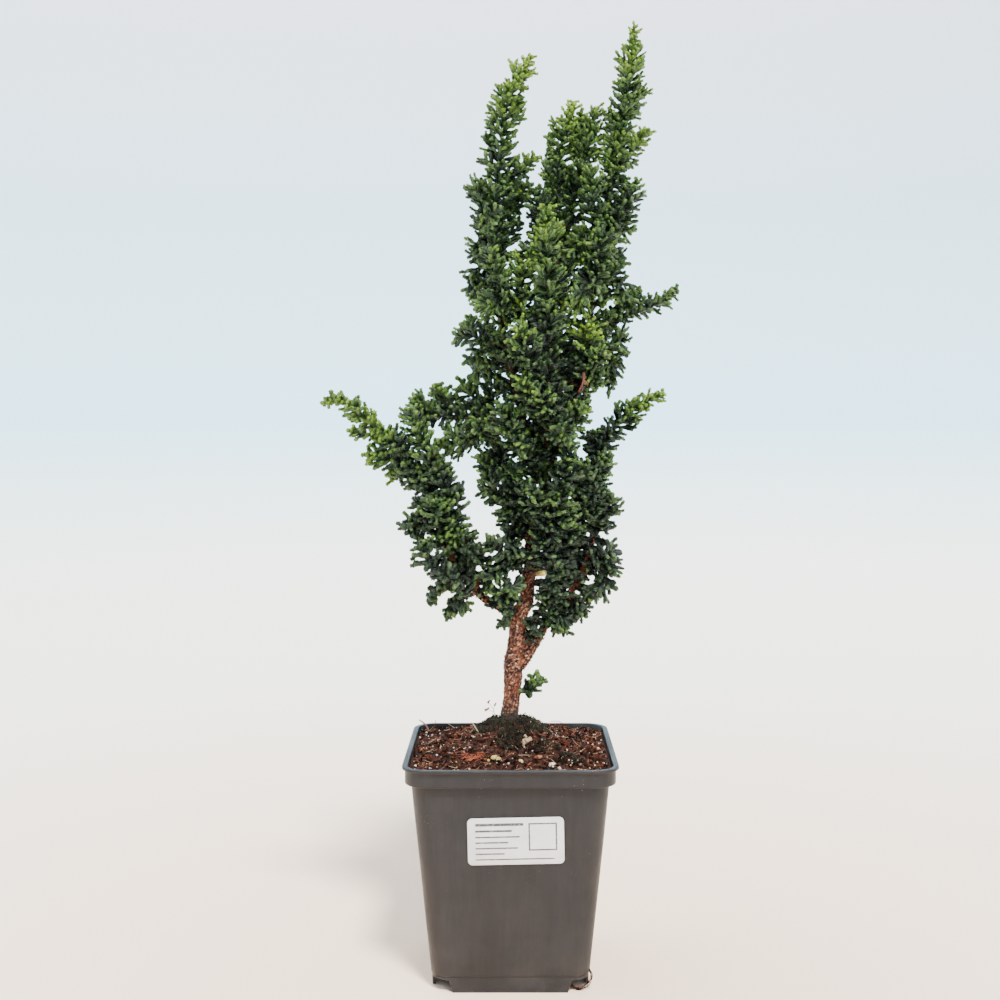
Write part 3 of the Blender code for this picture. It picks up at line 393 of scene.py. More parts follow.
# A rusty dead sprig at the crown's front, as x, z and how far behind the trunk's plane.
RUSTY_SPRIG = [(40.5, 326, -27), (40.5, 322, -30.5), (39.5, 319, -32), (37, 314.5, -33)]
RUSTY_TIP = (43, 319.5, -32)

# Sockets of the node that mixes colours
MIX_SHARE, MIX_A, MIX_B, MIX_RESULT = 0, 6, 7, 2

# Floor and backdrop: rings by radius and height, and the heights between which the colour changes
BACKDROP_PROFILE = [(1400.0, 0.0), (1900.0, 60.0), (2300.0, 300.0), (2500.0, 800.0), (2550.0, 2600.0)]
BACKDROP_SIDES = 96
BACKDROP_BLEND = (0.0, 1300.0)

# Lights as kind, name, place, size, power and colour; a far light's size is its angle in degrees.
LIGHTS = [
    ("SUN", "key_light", (350.0, -1000.0, 1900.0), 11.0, 8.1, (1.0, 0.98, 0.93)),
    ("SUN", "top_light", (-700.0, 200.0, 2400.0), 35.0, 2.2, (1.0, 1.0, 1.0)),
    ("AREA", "front_light", (500.0, -1900.0, 900.0), 1400.0, 8.0, (0.98, 0.99, 1.0)),
]
LIGHT_AIM = (0.0, 0.0, 300.0)
FILL_COLOUR = (0.86, 0.91, 1.0, 1.0)
FILL_STRENGTH = 0.27

# Courses of the wood and the leafy stems. The trunk: x, z, how far behind, and radius.
TRUNK = [
    (-0.2, 112, 0, 6.0),
    (-0.4, 124, 0, 5.7),
    (-0.5, 136, 0, 5.0),
    (0.9, 149, 0, 4.6),
    (1.4, 158, 0, 5.2),
    (1.5, 165, 0, 5.4),
    (3.6, 178, 0, 4.9),
    (4.7, 192, 0, 4.8),
    (8.9, 200, 0, 4.2),
    (9.3, 210, 0, 4.0),
    (11.4, 220, 0, 3.8),
    (11.0, 231, 0, 3.2),
    (16, 250, 0, 3.0),
    (21, 272, 0, 2.8),
    (25, 295, 0, 2.6),
    (27, 317, 1, 2.3),
    (26, 340, 4, 2.1),
    (25, 365, 8, 1.9),
    (26, 400, 10, 1.5),
]


def shoot(x, z, away, reach, lean=40, arch=0, forks=()):
    """A side shoot: its tip, how far its fans reach, its lean off the host, its upward arch."""
    return dict(tip=(x, z, away), reach=reach, lean=lean, arch=arch, forks=forks)


# Each branch: where it leaves the wood, the wood's course, then the course of the leafy
# leader that goes on from it; the wood's radius at both ends; the leader's reach at both ends.
BRANCHES = {
    "left_leader": dict(
        wood=[(19, 262, 0), (10, 290, -2), (2, 320, -5), (-4, 350, -7), (-8.5, 380, -8), (-10, 398, -8)],
        leader=[(-8, 425, -8), (-5.5, 447, -8), (-3, 471, -8), (4, 488, -8), (11.5, 501, -8)],
        radii=(2.4, 1.3), reach=(12, 4), forks=[shoot(13, 446, -10, 8)]),
    "right_leader": dict(
        wood=[(26, 300, 0), (38, 318, -4), (43, 345, -6), (46, 375, -5), (50, 405, -2)],
        leader=[(56, 437, 0), (62, 467, 0), (66, 490, 0), (67.5, 505, 0), (68.5, 518, 0)],
        radii=(2.5, 1.3), reach=(11, 4),
        forks=[shoot(73, 483, 2, 7, lean=20), shoot(54, 470, 3, 8), shoot(75, 460, -3, 8, lean=25)]),
    "right_arm": dict(
        wood=[(1.4, 162, 0), (7, 166, 0), (14.6, 178, 0), (18.5, 185, 1), (27, 197, 2), (38, 212, 4),
              (45, 232, 4), (48, 247, 3)],
        leader=[(48, 262, 3), (51, 285, 2), (61, 299, 1), (72, 309, 0), (84, 314, 0)],
        radii=(2.9, 1.4), reach=(9, 4), forks=[shoot(45, 293, 4, 9, lean=30)]),
    "left_arm": dict(
        wood=[(4.7, 190, 0), (-3, 195, -1), (-14, 201, -2), (-19, 206, -2), (-31, 222, -2),
              (-40, 240, -2), (-47, 258, -3)],
        leader=[(-54, 275, -4), (-63, 287, -4), (-76, 297, -5), (-89, 308, -6), (-97, 312, -6),
                (-103, 309, -6)],
        radii=(2.8, 1.4), reach=(8, 3.5),
        forks=[shoot(-88, 294, -9, 5, lean=20), shoot(-78, 280, -2, 9, lean=30),
               shoot(-66, 270, 3, 8, lean=50)]),
    "inner_arm": dict(
        wood=[(23, 284, 0), (5, 291, 2), (-12, 298, 4), (-22, 301, 5)],
        leader=[(-30, 302, 5), (-42, 303, 4), (-53, 307, 2)],
        radii=(1.9, 1.2), reach=(10.5, 8), forks=[shoot(-42, 318, 6, 8)]),
    "front_branch": dict(
        wood=[(21, 272, 0), (20, 295, -14), (22, 318, -21), (22, 334, -23)],
        leader=[(21, 365, -26), (20.5, 392, -27), (19.7, 417.6, -25)],
        radii=(1.9, 1.2), reach=(11, 6), forks=[]),
    "back_branch": dict(
        wood=[(20, 267, 0), (18, 290, 18), (20, 330, 29), (21, 350, 31)],
        leader=[(24, 375, 32), (26, 410, 34), (23, 440, 34)],
        radii=(2.1, 1.2), reach=(12, 8), forks=[shoot(37, 398, 30, 10)]),
}
TRUNK_LEADER = [(26, 430, 10), (28.5, 453, 10), (31, 466, 9), (34.5, 475, 8)]
TRUNK_REACH = (11, 5)

# Side shoots by the branch that carries them, from the top down.
SIDE_SHOOTS = {
    "left_leader": [
        shoot(-17, 432, -10, 9, forks=[shoot(-12, 412, -20, 9)]),
        shoot(-19, 398, -2, 9, forks=[shoot(-18, 372, -10, 9, lean=60)]),
        shoot(0, 430, 14, 10, forks=[shoot(8, 429, 10, 9)]),
        shoot(-14, 395, 24, 10, forks=[shoot(-9, 415, 24, 8)]),
        shoot(8, 387, -25, 10, forks=[shoot(-14, 362, -22, 10), shoot(11, 357, -20, 10, lean=60),
                                 shoot(-12, 392, -22, 9)]),
        shoot(-25, 351, -8, 10, lean=60, arch=6, forks=[shoot(-14, 325, 4, 10, lean=70)]),
        shoot(-14, 352, 24, 10, lean=55, forks=[shoot(-4, 334, 24, 10)]),
    ],
    "trunk": [
        shoot(47, 472, 6, 10, lean=22, forks=[shoot(39, 468, 14, 9)]),
        shoot(22, 455, 6, 6, forks=[shoot(14, 428, -5, 9)]),
        shoot(18, 420, 33, 9, forks=[shoot(9, 390, 36, 9)]),
        shoot(-7, 307, -22, 10.5, lean=50, forks=[shoot(6, 288, -27, 9)]),
        shoot(28, 256, -26, 11, lean=55, forks=[shoot(12, 262, -27, 10), shoot(34, 286, -24, 9)]),
        shoot(-15, 279, -8, 10, forks=[shoot(2, 273, -12, 10, lean=30)]),
        shoot(24, 262, 24, 11, lean=50, forks=[shoot(38, 276, 18, 10)]),
        shoot(1, 262, 22, 10, lean=50, forks=[shoot(-9, 290, 18, 9)]),
        shoot(-12, 233, -12, 9, lean=60, forks=[shoot(-13, 211, -14, 9, lean=60), shoot(2, 230, -16, 8)]),
        shoot(14.5, 155, -3, 7, lean=70),
    ],
    "right_leader": [
        shoot(70, 432, -4, 9, forks=[shoot(63, 406, 4, 9)]),
        shoot(45, 436, -11, 10, lean=25, forks=[shoot(37, 386, -16, 10, lean=60)]),
        shoot(57, 384, -7, 10.5, forks=[shoot(59, 367, -10, 9)]),
        shoot(60, 420, 20, 10, forks=[shoot(57, 386, 25, 10)]),
        shoot(52, 402, -25, 10, forks=[shoot(36, 362, -24, 11)]),
        shoot(92, 372, -6, 7, lean=62, arch=-2, forks=[shoot(68, 367, 4, 9, lean=15)]),
        shoot(63, 345, -4, 9, lean=70, arch=5, forks=[shoot(54, 320, 2, 9, lean=60)]),
        shoot(50, 338, -26, 10, forks=[shoot(46, 323, -18, 8, lean=60), shoot(41, 354, -20, 10)]),
        shoot(48, 352, 26, 11, lean=45),
    ],
    "right_arm": [
        shoot(54, 281, -8, 9, forks=[shoot(45, 270, 8, 9)]),
        shoot(56, 258, -8, 9, lean=45, forks=[shoot(42, 272, -12, 9)]),
        shoot(56, 227, -5, 10, lean=60, forks=[shoot(44, 205, 3, 10, lean=60)]),
        shoot(40, 194, -1, 8, lean=95, arch=3),
        shoot(29, 187, -5, 9, lean=100, arch=3),
        shoot(24, 224, -13, 10, lean=45, forks=[shoot(34, 252, -14, 9), shoot(17, 235, -18, 10)]),
        shoot(38, 240, 26, 10, forks=[shoot(48, 222, 24, 9), shoot(22, 222, 22, 9)]),
    ],
    "left_arm": [
        shoot(-56, 303, -9, 10, lean=25, forks=[shoot(-38, 274, -3, 8, lean=50)]),
        shoot(-57, 242, -6, 9, lean=70, arch=5),
        shoot(-29, 238, -6, 8, lean=40, forks=[shoot(-18, 221, -8, 8), shoot(-40, 256, -14, 9)]),
        shoot(-34, 211, -4, 9, lean=80, arch=3, forks=[shoot(-43, 201, 2, 5), shoot(-50, 232, -12, 8)]),
        shoot(-35, 192, -3, 6, lean=105, arch=3, forks=[shoot(-24, 196, -8, 6)]),
        shoot(-1, 209, -17, 10, lean=80, forks=[shoot(-6, 187, -8, 5, lean=90)]),
        shoot(-34, 238, 20, 8, forks=[shoot(-48, 258, 18, 8)]),
    ],
    "inner_arm": [
        shoot(-39, 286, 0, 10, lean=105, arch=4, forks=[shoot(-24, 292, 9, 8), shoot(-15, 293, -8, 9)]),
        shoot(-27, 319, 10, 10, forks=[shoot(-6, 322, 2, 10)]),
    ],
    "front_branch": [
        shoot(5, 352, -36, 10, lean=35),
        shoot(17, 314, -38, 10.5, lean=45, forks=[shoot(6, 322, -33, 10)]),
        shoot(39, 306, -27, 10, lean=50, forks=[shoot(27, 292, -34, 10)]),
    ],
    "back_branch": [
        shoot(2, 345, 38, 10.5, lean=50, forks=[shoot(7, 305, 38, 10, lean=60)]),
        shoot(40, 345, 42, 10.5, lean=50, forks=[shoot(37, 302, 36, 10.5, lean=60)]),
    ],
}


# Curves


def unit(vector):
    """The vector at length one."""
    return vector / np.linalg.norm(vector)


def place(x, z, away=0.0):
    """The point seen at (x, z), pushed away from the eye along the line of sight."""
    share = (EYE_DISTANCE + away) / EYE_DISTANCE
    return np.array([x * share, away, EYE_HEIGHT + (z - EYE_HEIGHT) * share])


def smooth_curve(knots):
    """Points about CURVE_STEP apart on the Catmull-Rom curve through the knots."""
    knots = [np.asarray(k, float) for k in knots]
    ends = [2 * knots[0] - knots[1]] + knots + [2 * knots[-1] - knots[-2]]
    points = []
    for a, b, c, d in zip(ends, ends[1:], ends[2:], ends[3:]):
        steps = max(2, round(np.linalg.norm(c[:3] - b[:3]) / CURVE_STEP))
        for t in np.arange(steps) / steps:
            points.append(0.5 * (2 * b + (c - a) * t + (2 * a - 5 * b + 4 * c - d) * t * t
                                 + (3 * b - a - 3 * c + d) * t ** 3))
    points.append(knots[-1])
    return np.array(points)


def arched_curve(start, middle, end):
    """Points about CURVE_STEP apart on the arc that starts towards the middle point."""
    steps = max(4, round(np.linalg.norm(end - start) / CURVE_STEP))
    t = np.linspace(0.0, 1.0, steps + 1)[:, None]
    return (1 - t) ** 2 * start + 2 * t * (1 - t) * middle + t * t * end


def lengths_along(points):
    """Distance from the curve's start to each of its points."""
    return np.concatenate([[0.0], np.cumsum(np.linalg.norm(np.diff(points, axis=0), axis=1))])


def point_at(points, distance):
    """The curve's point and direction at a distance from its start."""
    along = lengths_along(points)
    here = np.array([np.interp(distance, along, points[:, i]) for i in range(3)])
    index = int(np.clip(np.searchsorted(along, distance), 1, len(points) - 1))
    return here, unit(points[index] - points[index - 1])


def part_of(points, start, end, step):
    """The stretch of a curve between two distances, as points about one step apart."""
    count = max(1, round((end - start) / step))
    return np.array([point_at(points, d)[0] for d in np.linspace(start, end, count + 1)])


def side_of(direction):
    """A unit vector square to the direction, towards +X where it can be."""
    rough = np.array([1.0, 0.0, 0.0]) if abs(direction[0]) < 0.9 else np.array([0.0, 1.0, 0.0])
    return unit(rough - direction * rough.dot(direction))


def turned(vector, axis, angle):
    """The vector turned about a unit axis."""
    return (vector * math.cos(angle) + np.cross(axis, vector) * math.sin(angle)
            + axis * axis.dot(vector) * (1 - math.cos(angle)))


# Room between the stems


def segment_gaps(start, end, starts, ends):
    """Shortest distance from one segment to each of many others."""
    d1, d2, r = end - start, ends - starts, start - starts
    a, e = max(d1.dot(d1), 1e-9), np.maximum((d2 * d2).sum(1), 1e-9)
    b, c, f = d2 @ d1, r @ d1, (d2 * r).sum(1)
    denominator = np.maximum(a * e - b * b, 1e-9)
    s = np.clip((b * f - c * e) / denominator, 0, 1)
    t = np.clip((b * s + f) / e, 0, 1)
    s = np.clip((b * t - c) / a, 0, 1)
    near = start + s[:, None] * d1
    other = starts + t[:, None] * d2
    return np.linalg.norm(near - other, axis=1)


class Room:
    """The round-ended rods that stand for all that is already placed."""

    def __init__(self):
        self.starts, self.ends, self.radii, self.owners = [], [], [], []
        self.arrays = None

    def add(self, owner, rods):
        for start, end, radius in rods:
            self.starts.append(start)
            self.ends.append(end)
            self.radii.append(radius)
            self.owners.append(owner)
        self.arrays = None

    def slack(self, rods, ignore=()):
        """The least gap between these rods and what other owners have placed."""
        if self.arrays is None:
            self.arrays = (np.array(self.starts), np.array(self.ends), np.array(self.radii),
                           np.array(self.owners))
        starts, ends, radii, owners = self.arrays
        keep = ~np.isin(owners, list(ignore))
        if not keep.any():
            return math.inf
        starts, ends, radii = starts[keep], ends[keep], radii[keep]
        least = math.inf
        for start, end, radius in rods:
            least = min(least, (segment_gaps(start, end, starts, ends) - radii).min() - radius)
        return least


def rods_along(points, first_radius, last_radius):
    """Rods along a row of points, tapering from the first to the last."""
    radii = np.linspace(first_radius, last_radius, len(points))
    return [(a, b, max(r, s)) for a, b, r, s in zip(points, points[1:], radii, radii[1:])]


# Courses of the wood and of the leafy stems


class Branch:
    """A branch's course, where its wood ends, and the leader that goes on from it."""

    def __init__(self, name, wood, leader, reach, forks=()):
        self.name = name
        self.reach = reach
        self.forks = forks
        self.radii = ((0.0, 1.0), (1.0, 1.0))
        wood_points = [place(*knot) for knot in wood]
        self.curve = smooth_curve(wood_points + [place(*knot) for knot in leader])
        nearest = np.argmin(np.linalg.norm(self.curve - wood_points[-1], axis=1))
        self.wood_end = lengths_along(self.curve)[nearest]

    def radius_at(self, distance):
        return float(np.interp(distance, *self.radii))

    def rods(self):
        """The wood as rods."""
        span = TRUNK_SPAN if self.name == "trunk" else BRANCH_SPAN
        points = part_of(self.curve, 0.0, self.wood_end, span)
        return rods_along(points, self.radius_at(0.0), self.radius_at(self.wood_end))


class Stem:
    """One leafy stem: its course, where its green starts, and how far its fans reach."""

    def __init__(self, node, curve, green_start, reach, thick):
        self.node = node
        self.curve = curve
        self.length = lengths_along(curve)[-1]
        self.green_start = green_start
        self.reach = reach
        self.thick = thick

    def rods(self):
        """The stem's core as rods."""
        points = part_of(self.curve, self.green_start, self.length - ROD_MARGIN, RING_STEP)
        return rods_along(points, self.thick, self.thick)


def trunk_curve():
    """The trunk's middle line, with its radius as the fourth number."""
    knots = [np.append(place(x, z, away), radius) for x, z, away, radius in TRUNK]
    return smooth_curve(knots)


def all_branches():
    """The trunk and its branches."""
    curve = trunk_curve()
    trunk_knots = [knot[:3] for knot in TRUNK]
    trunk = Branch("trunk", trunk_knots, TRUNK_LEADER, TRUNK_REACH)
    trunk.radii = (lengths_along(curve[:, :3]), curve[:, 3])
    branches = {"trunk": trunk}
    for name, row in BRANCHES.items():
        branch = Branch(name, row["wood"], row["leader"], row["reach"], row["forks"])
        branch.radii = ((0.0, branch.wood_end), row["radii"])
        branches[name] = branch
    return branches


def leave_host(curve, last, tip, lean):
    """Distance along the host at which a shoot to the tip leans off it by the angle."""
    along = lengths_along(curve)
    best, chosen = math.inf, 0.0
    for distance in np.arange(LEAVE_START, last, LEAVE_STEP):
        here, direction = point_at(curve, distance)
        towards = unit(tip - here)
        error = abs(math.degrees(math.acos(np.clip(towards.dot(direction), -1, 1))) - lean)
        error += LENGTH_WEIGHT * np.linalg.norm(tip - here)
        if error < best:
            best, chosen = error, distance
    return min(chosen, along[-1])


def clear_of(course, host, thick):
    """Distance along a course at which a twig has come free of its host's side."""
    gaps = np.linalg.norm(course[:, None] - host[None], axis=2).min(axis=1)
    free = np.nonzero(gaps > thick + TWIG_RADIUS + 2 * NODE_GAP)[0]
    return lengths_along(course)[free[0]] if len(free) else 0.0


def clear_course(room, start, tip, arch, skip, free, thick):
    """A course from start to tip that keeps clear of what is placed, bent where it must be."""
    chord = unit(tip - start)
    upward = UP - chord * chord[2]
    upward = unit(upward) if np.linalg.norm(upward) > 0.05 else side_of(chord)
    best, chosen = -math.inf, None
    for bend in COURSE_BENDS:
        for turn in range(1 if bend == 0 else COURSE_TURNS):
            aside = turned(upward, chord, turn * 2 * math.pi / COURSE_TURNS) * bend
            middle = (start + tip) / 2 + upward * arch + aside
            curve = arched_curve(start, middle, tip)
            length = lengths_along(curve)[-1]
            rods = rods_along(part_of(curve, min(free, length / 2), length, ROD_STEP), thick, thick)
            slack = room.slack(rods, skip)
            if slack > COURSE_GAP:
                return curve
            if slack > best:
                best, chosen = slack, curve
    return chosen


def plan_stems(branches, room):
    """All leafy stems, and the woody twigs that carry the side shoots."""
    stems, twigs = [], []
    for branch in branches.values():
        room.add("wood", branch.rods())
    for branch in branches.values():
        node = branch.name + "_shoot_00"
        stem = Stem(node, branch.curve, branch.wood_end + NODE_GAP, branch.reach,
                    branch.radius_at(branch.wood_end))
        stems.append(stem)
        room.add(node, stem.rods())
        stems += [fork_stem(stem, fork, room) for fork in branch.forks]
    for name, shoots in SIDE_SHOOTS.items():
        branch = branches[name]
        for index, row in enumerate(shoots, start=1):
            node = f"{name}_shoot_{index:02d}"
            tip = place(*row["tip"])
            leave = leave_host(branch.curve, branch.wood_end - TIP_CLEARANCE, tip, row["lean"])
            start, _ = point_at(branch.curve, leave)
            thick = branch.radius_at(leave)
            straight = np.linspace(start, tip, CHORD_POINTS)
            twig_end = max(thick + TWIG_LENGTH, clear_of(straight, branch.curve, thick))
            curve = clear_course(room, start, tip, row["arch"], (), twig_end, TWIG_RADIUS)
            twig_end = max(thick + TWIG_LENGTH, clear_of(curve, branch.curve, thick))
            twigs.append(part_of(curve, 0.0, twig_end, TWIG_LENGTH))
            room.add("wood", rods_along(twigs[-1], TWIG_RADIUS, TWIG_RADIUS))
            reach = (row["reach"], row["reach"] * REACH_TAPER)
            stem = Stem(node, curve, twig_end + NODE_GAP, reach, TWIG_RADIUS)
            stems.append(stem)
            room.add(node, stem.rods())
            stems += [fork_stem(stem, fork, room) for fork in row["forks"]]
    return stems, twigs


def fork_stem(host, row, room):
    """A stem that forks from another leafy stem and shares its node."""
    tip = place(*row["tip"])
    green = part_of(host.curve, host.green_start, host.length, CURVE_STEP)
    leave = leave_host(green, FORK_ZONE * lengths_along(green)[-1], tip, row["lean"])
    start, _ = point_at(green, leave)
    curve = clear_course(room, start, tip, row["arch"], {host.node}, 1.0, TWIG_RADIUS)
    stem = Stem(host.node, curve, 0.0, (row["reach"], row["reach"] * REACH_TAPER), FORK_RADIUS)
    room.add(host.node, stem.rods())
    return stem


# Meshes


def blank_mesh(name, points, quads):
    """A mesh of quads from points in millimetres, shaded smooth."""
    mesh = bpy.data.meshes.new(name)
    mesh.vertices.add(len(points))
    mesh.vertices.foreach_set("co", (np.asarray(points) * MM).astype(np.float32).ravel())
    mesh.loops.add(quads.size)
    mesh.loops.foreach_set("vertex_index", quads.astype(np.int32).ravel())
    mesh.polygons.add(len(quads))
    mesh.polygons.foreach_set("loop_start", np.arange(0, quads.size, 4, dtype=np.int32))
    mesh.polygons.foreach_set("use_smooth", np.ones(len(quads), bool))
    mesh.update(calc_edges=True)
    return mesh


def new_object(name, data):
    """A new object in the scene."""
    made = bpy.data.objects.new(name, data)
    bpy.context.scene.collection.objects.link(made)
    return made


def set_values(mesh, name, values):
    """Stores one number for each point of a mesh."""
    mesh.attributes.new(name, "FLOAT", "POINT").data.foreach_set("value", np.asarray(values, np.float32))


def add_piece(name, mesh, look, stands_for=()):
    """A piece of the object that rides on its only body."""
    piece = new_object(name, mesh)
    mesh.materials.clear()
    mesh.materials.append(look)
    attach(piece, "root")
    if stands_for:
        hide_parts(*stands_for)


def quads_between(rings, sides, first=0):
    """Quads between rings of points that run anticlockwise and follow each other."""
    quads = []
    for low in range(first, first + (rings - 1) * sides, sides):
        high = low + sides
        for k in range(sides):
            n = (k + 1) % sides
            quads.append((low + k, low + n, high + n, high + k))
    return quads


def closed_quads(rings, sides):
    """Quads of a closed tube with an even number of sides, whose last point is its tip."""
    quads = quads_between(rings, sides)
    for k in range(1, sides // 2):
        quads.append((0, 2 * k + 1, 2 * k, 2 * k - 1))
    top, tip = (rings - 1) * sides, rings * sides
    for k in range(0, sides, 2):
        quads.append((top + k, top + k + 1, top + (k + 2) % sides, tip))
    return np.array(quads)


class Batch:
    """Closed bodies gathered into one mesh, with named numbers at each point."""

    def __init__(self):
        self.points, self.quads, self.values = [], [], {}
        self.count = 0

    def add(self, points, quads, **values):
        self.points.append(points)
        self.quads.append(quads + self.count)
        self.count += len(points)
        for name, value in values.items():
            self.values.setdefault(name, []).append(np.broadcast_to(value, len(points)))

    def mesh(self, name):
        mesh = blank_mesh(name, np.concatenate(self.points), np.concatenate(self.quads))
        for value_name, values in self.values.items():
            set_values(mesh, value_name, np.concatenate(values))
        return mesh

    def piece(self, name, look, slot, stands_for=()):
        """Makes one piece of all the bodies."""
        add_piece(name, self.mesh(name), look, stands_for)


def grow(batch, rows, rings, girths, sides, flatness, rng, beads=0.0, rough=0.06):
    """Adds one bent, tapered body for each row.

    A row holds root, direction, normal, length, radius, bend and any further named numbers.
    Beads widen every other ring, first across and then in height, as scale leaves do.
    """
    if not rows:
        return
    fixed = ("root", "direction", "normal", "length", "radius", "bend")
    root, direction, normal, length, radius, bend = (np.array([row[key] for row in rows]) for key in fixed)
    across = np.cross(normal, direction)
    share = rings[None, :, None]
    middle = root[:, None] + direction[:, None] * length[:, None, None] * share
    middle = middle + normal[:, None] * (bend * length)[:, None, None] * share ** 2
    tangent = direction[:, None] + 2 * bend[:, None, None] * share * normal[:, None]
    tangent /= np.linalg.norm(tangent, axis=2, keepdims=True)
    upright = np.cross(tangent, np.broadcast_to(across[:, None], tangent.shape))
    sign = np.where(np.arange(len(rings)) % 2 == 0, -1.0, 1.0)
    girth = radius[:, None] * girths[None] * rng.uniform(1 - rough, 1 + rough, (len(rows), len(rings)))
    wide = girth * (1 + beads * sign)
    thin = girth * (1 - beads * sign) * flatness
    angle = 2 * math.pi * np.arange(sides) / sides
    points = (middle[:, :, None]
              + across[:, None, None] * (wide[..., None] * np.cos(angle))[..., None]
              + upright[:, :, None] * (thin[..., None] * np.sin(angle))[..., None])
    tip = root + direction * length[:, None] + normal * (bend * length)[:, None]
    points = np.concatenate([points.reshape(len(rows), -1, 3), tip[:, None]], axis=1)
    quads = closed_quads(len(rings), sides)
    each = points.shape[1]
    quads = (quads[None] + (each * np.arange(len(rows)))[:, None, None]).reshape(-1, 4)
    along = np.append(np.repeat(rings, sides), 1.0)
    values = {}
    for name in rows[0]:
        if name not in fixed:
            values[name] = np.repeat([row[name] for row in rows], each)
    values["along"] = np.tile(along, len(rows))
    batch.add(points.reshape(-1, 3), quads, **values)


def add_tube(batch, points, radii, sides, **values):
    """Adds one closed tube along a row of points, with a blunt tip."""
    points = np.asarray(points)
    tangents = np.gradient(points, axis=0)
    side = side_of(unit(tangents[0]))
    vertices = []
    for point, tangent, radius in zip(points, tangents, radii):
        tangent = unit(tangent)
        side = unit(side - tangent * side.dot(tangent))
        other = np.cross(tangent, side)
        for k in range(sides):
            angle = 2 * math.pi * k / sides
            vertices.append(point + radius * (side * math.cos(angle) + other * math.sin(angle)))
    vertices.append(points[-1] + unit(tangents[-1]) * radii[-1] * BLUNT_TIP)
    batch.add(np.array(vertices), closed_quads(len(points), sides), **values)


# Foliage


def square_to(vector, direction):
    """The part of a vector that is square to a unit direction, at length one."""
    rest = vector - direction * vector.dot(direction)
    size = np.linalg.norm(rest)
    return rest / size if size > 0.05 else side_of(direction)


def outward_from(side, tangent, azimuth):
    """The direction off a stem at a bearing round it."""
    return side * math.cos(azimuth) + np.cross(tangent, side) * math.sin(azimuth)


def around(rng, amount):
    """A random factor about one."""
    return rng.uniform(1 - amount, 1 + amount)


def youth_of(leader, share, here):
    """How young and yellow-green the leaves are: 0 in the old crown, 1 at a leader's tip."""
    tip_youth = LEADER_TIP_YOUTH if leader else SIDE_TIP_YOUTH
    tip = np.interp(share, (TIP_YOUTH_START, 1.0), (0.0, tip_youth))
    height = np.interp(here[2], YOUTH_HEIGHTS, HEIGHT_YOUTH)
    fresh = FRESHNESS if in_patch(here, FRESH_PATCHES) else 0.0
    return BASE_YOUTH + tip + height + fresh


def fan_fingers(spine, rng):
    """The side fingers of one fan, left and right along its spine."""
    rows = []
    across = np.cross(spine["normal"], spine["direction"])
    length = spine["length"]
    side = rng.choice((-1.0, 1.0))
    step = FINGER_STEP * spine["radius"] / FINGER_RADIUS
    count = int(np.clip(round(length / step), *FINGER_COUNTS))
    for distance in np.linspace(*FINGER_ZONE, count) * length:
        share = distance / length
        tangent = unit(spine["direction"] + 2 * spine["bend"] * share * spine["normal"])
        normal = np.cross(tangent, across)
        root = (spine["root"] + spine["direction"] * distance
                + spine["normal"] * spine["bend"] * length * share ** 2)
        angle = FINGER_ANGLE * around(rng, FINGER_ANGLE_UNEVEN)
        direction = unit(tangent * math.cos(angle) + across * side * math.sin(angle)
                         + normal * rng.uniform(-FINGER_SPLAY, FINGER_SPLAY))
        reach = (FINGER_REACH * (1 - share) * length + LEAST_FINGER) * around(rng, FINGER_REACH_UNEVEN)
        rows.append(dict(
            root=root, direction=direction, normal=square_to(normal, direction),
            length=min(reach, LONGEST_FINGER * length),
            radius=spine["radius"] * rng.uniform(*FINGER_GIRTHS),
            bend=rng.uniform(0.0, FINGER_BEND),
            young=spine["young"] + rng.uniform(*FINGER_YOUTH) + OUTER_YOUTH * (share - 0.5),
            vary=rng.uniform(), dead=spine["dead"] * rng.uniform(*FINGER_DECAY)))
        side = -side
    return rows


def in_patch(here, patches):
    """Whether a place at the front of the crown lies in one of the round patches."""
    near = [math.hypot(here[0] - x, here[2] - z) < size for x, z, size in patches]
    return any(near) and here[1] < 0.0


def withered(here):
    """The chance that a fan at this place has died."""
    return WITHER_CHANCE if in_patch(here, BROWN_PATCHES) else 0.0


def spine_row(here, tangent, outward, lean, reach, youth, rng):
    """The spine of one fan that leans off a stem and bends up, or hangs low in the crown."""
    direction = outward * math.sin(lean) + tangent * math.cos(lean)
    droop = np.interp(here[2], DROOP_HEIGHTS, DROOPS) * rng.uniform(*DROOP_SHARE)
    direction = unit(direction - UP * droop)
    base = square_to(unit((1 - FAN_UPWARD) * tangent + FAN_UPWARD * UP), direction)
    stout = np.interp(here[2], STOUT_HEIGHTS, STOUTNESS) * np.interp(here[0], STOUT_SIDE, STOUT_LEFT)
    return dict(
        root=here, direction=direction, normal=turned(base, direction, rng.normal(0.0, FAN_ROLL)),
        length=max((reach - FAN_SET_BACK) / math.sin(lean), LEAST_FAN) * (1 + STOUT_LENGTH * (stout - 1)),
        radius=FINGER_RADIUS * stout * np.interp(youth, SLIMMING_YOUTH, SLIMNESS),
        bend=rng.uniform(0.0, FAN_BEND) - DROOP_BEND * droop, young=youth, vary=rng.uniform(),
        dead=float(rng.uniform() < withered(here)))


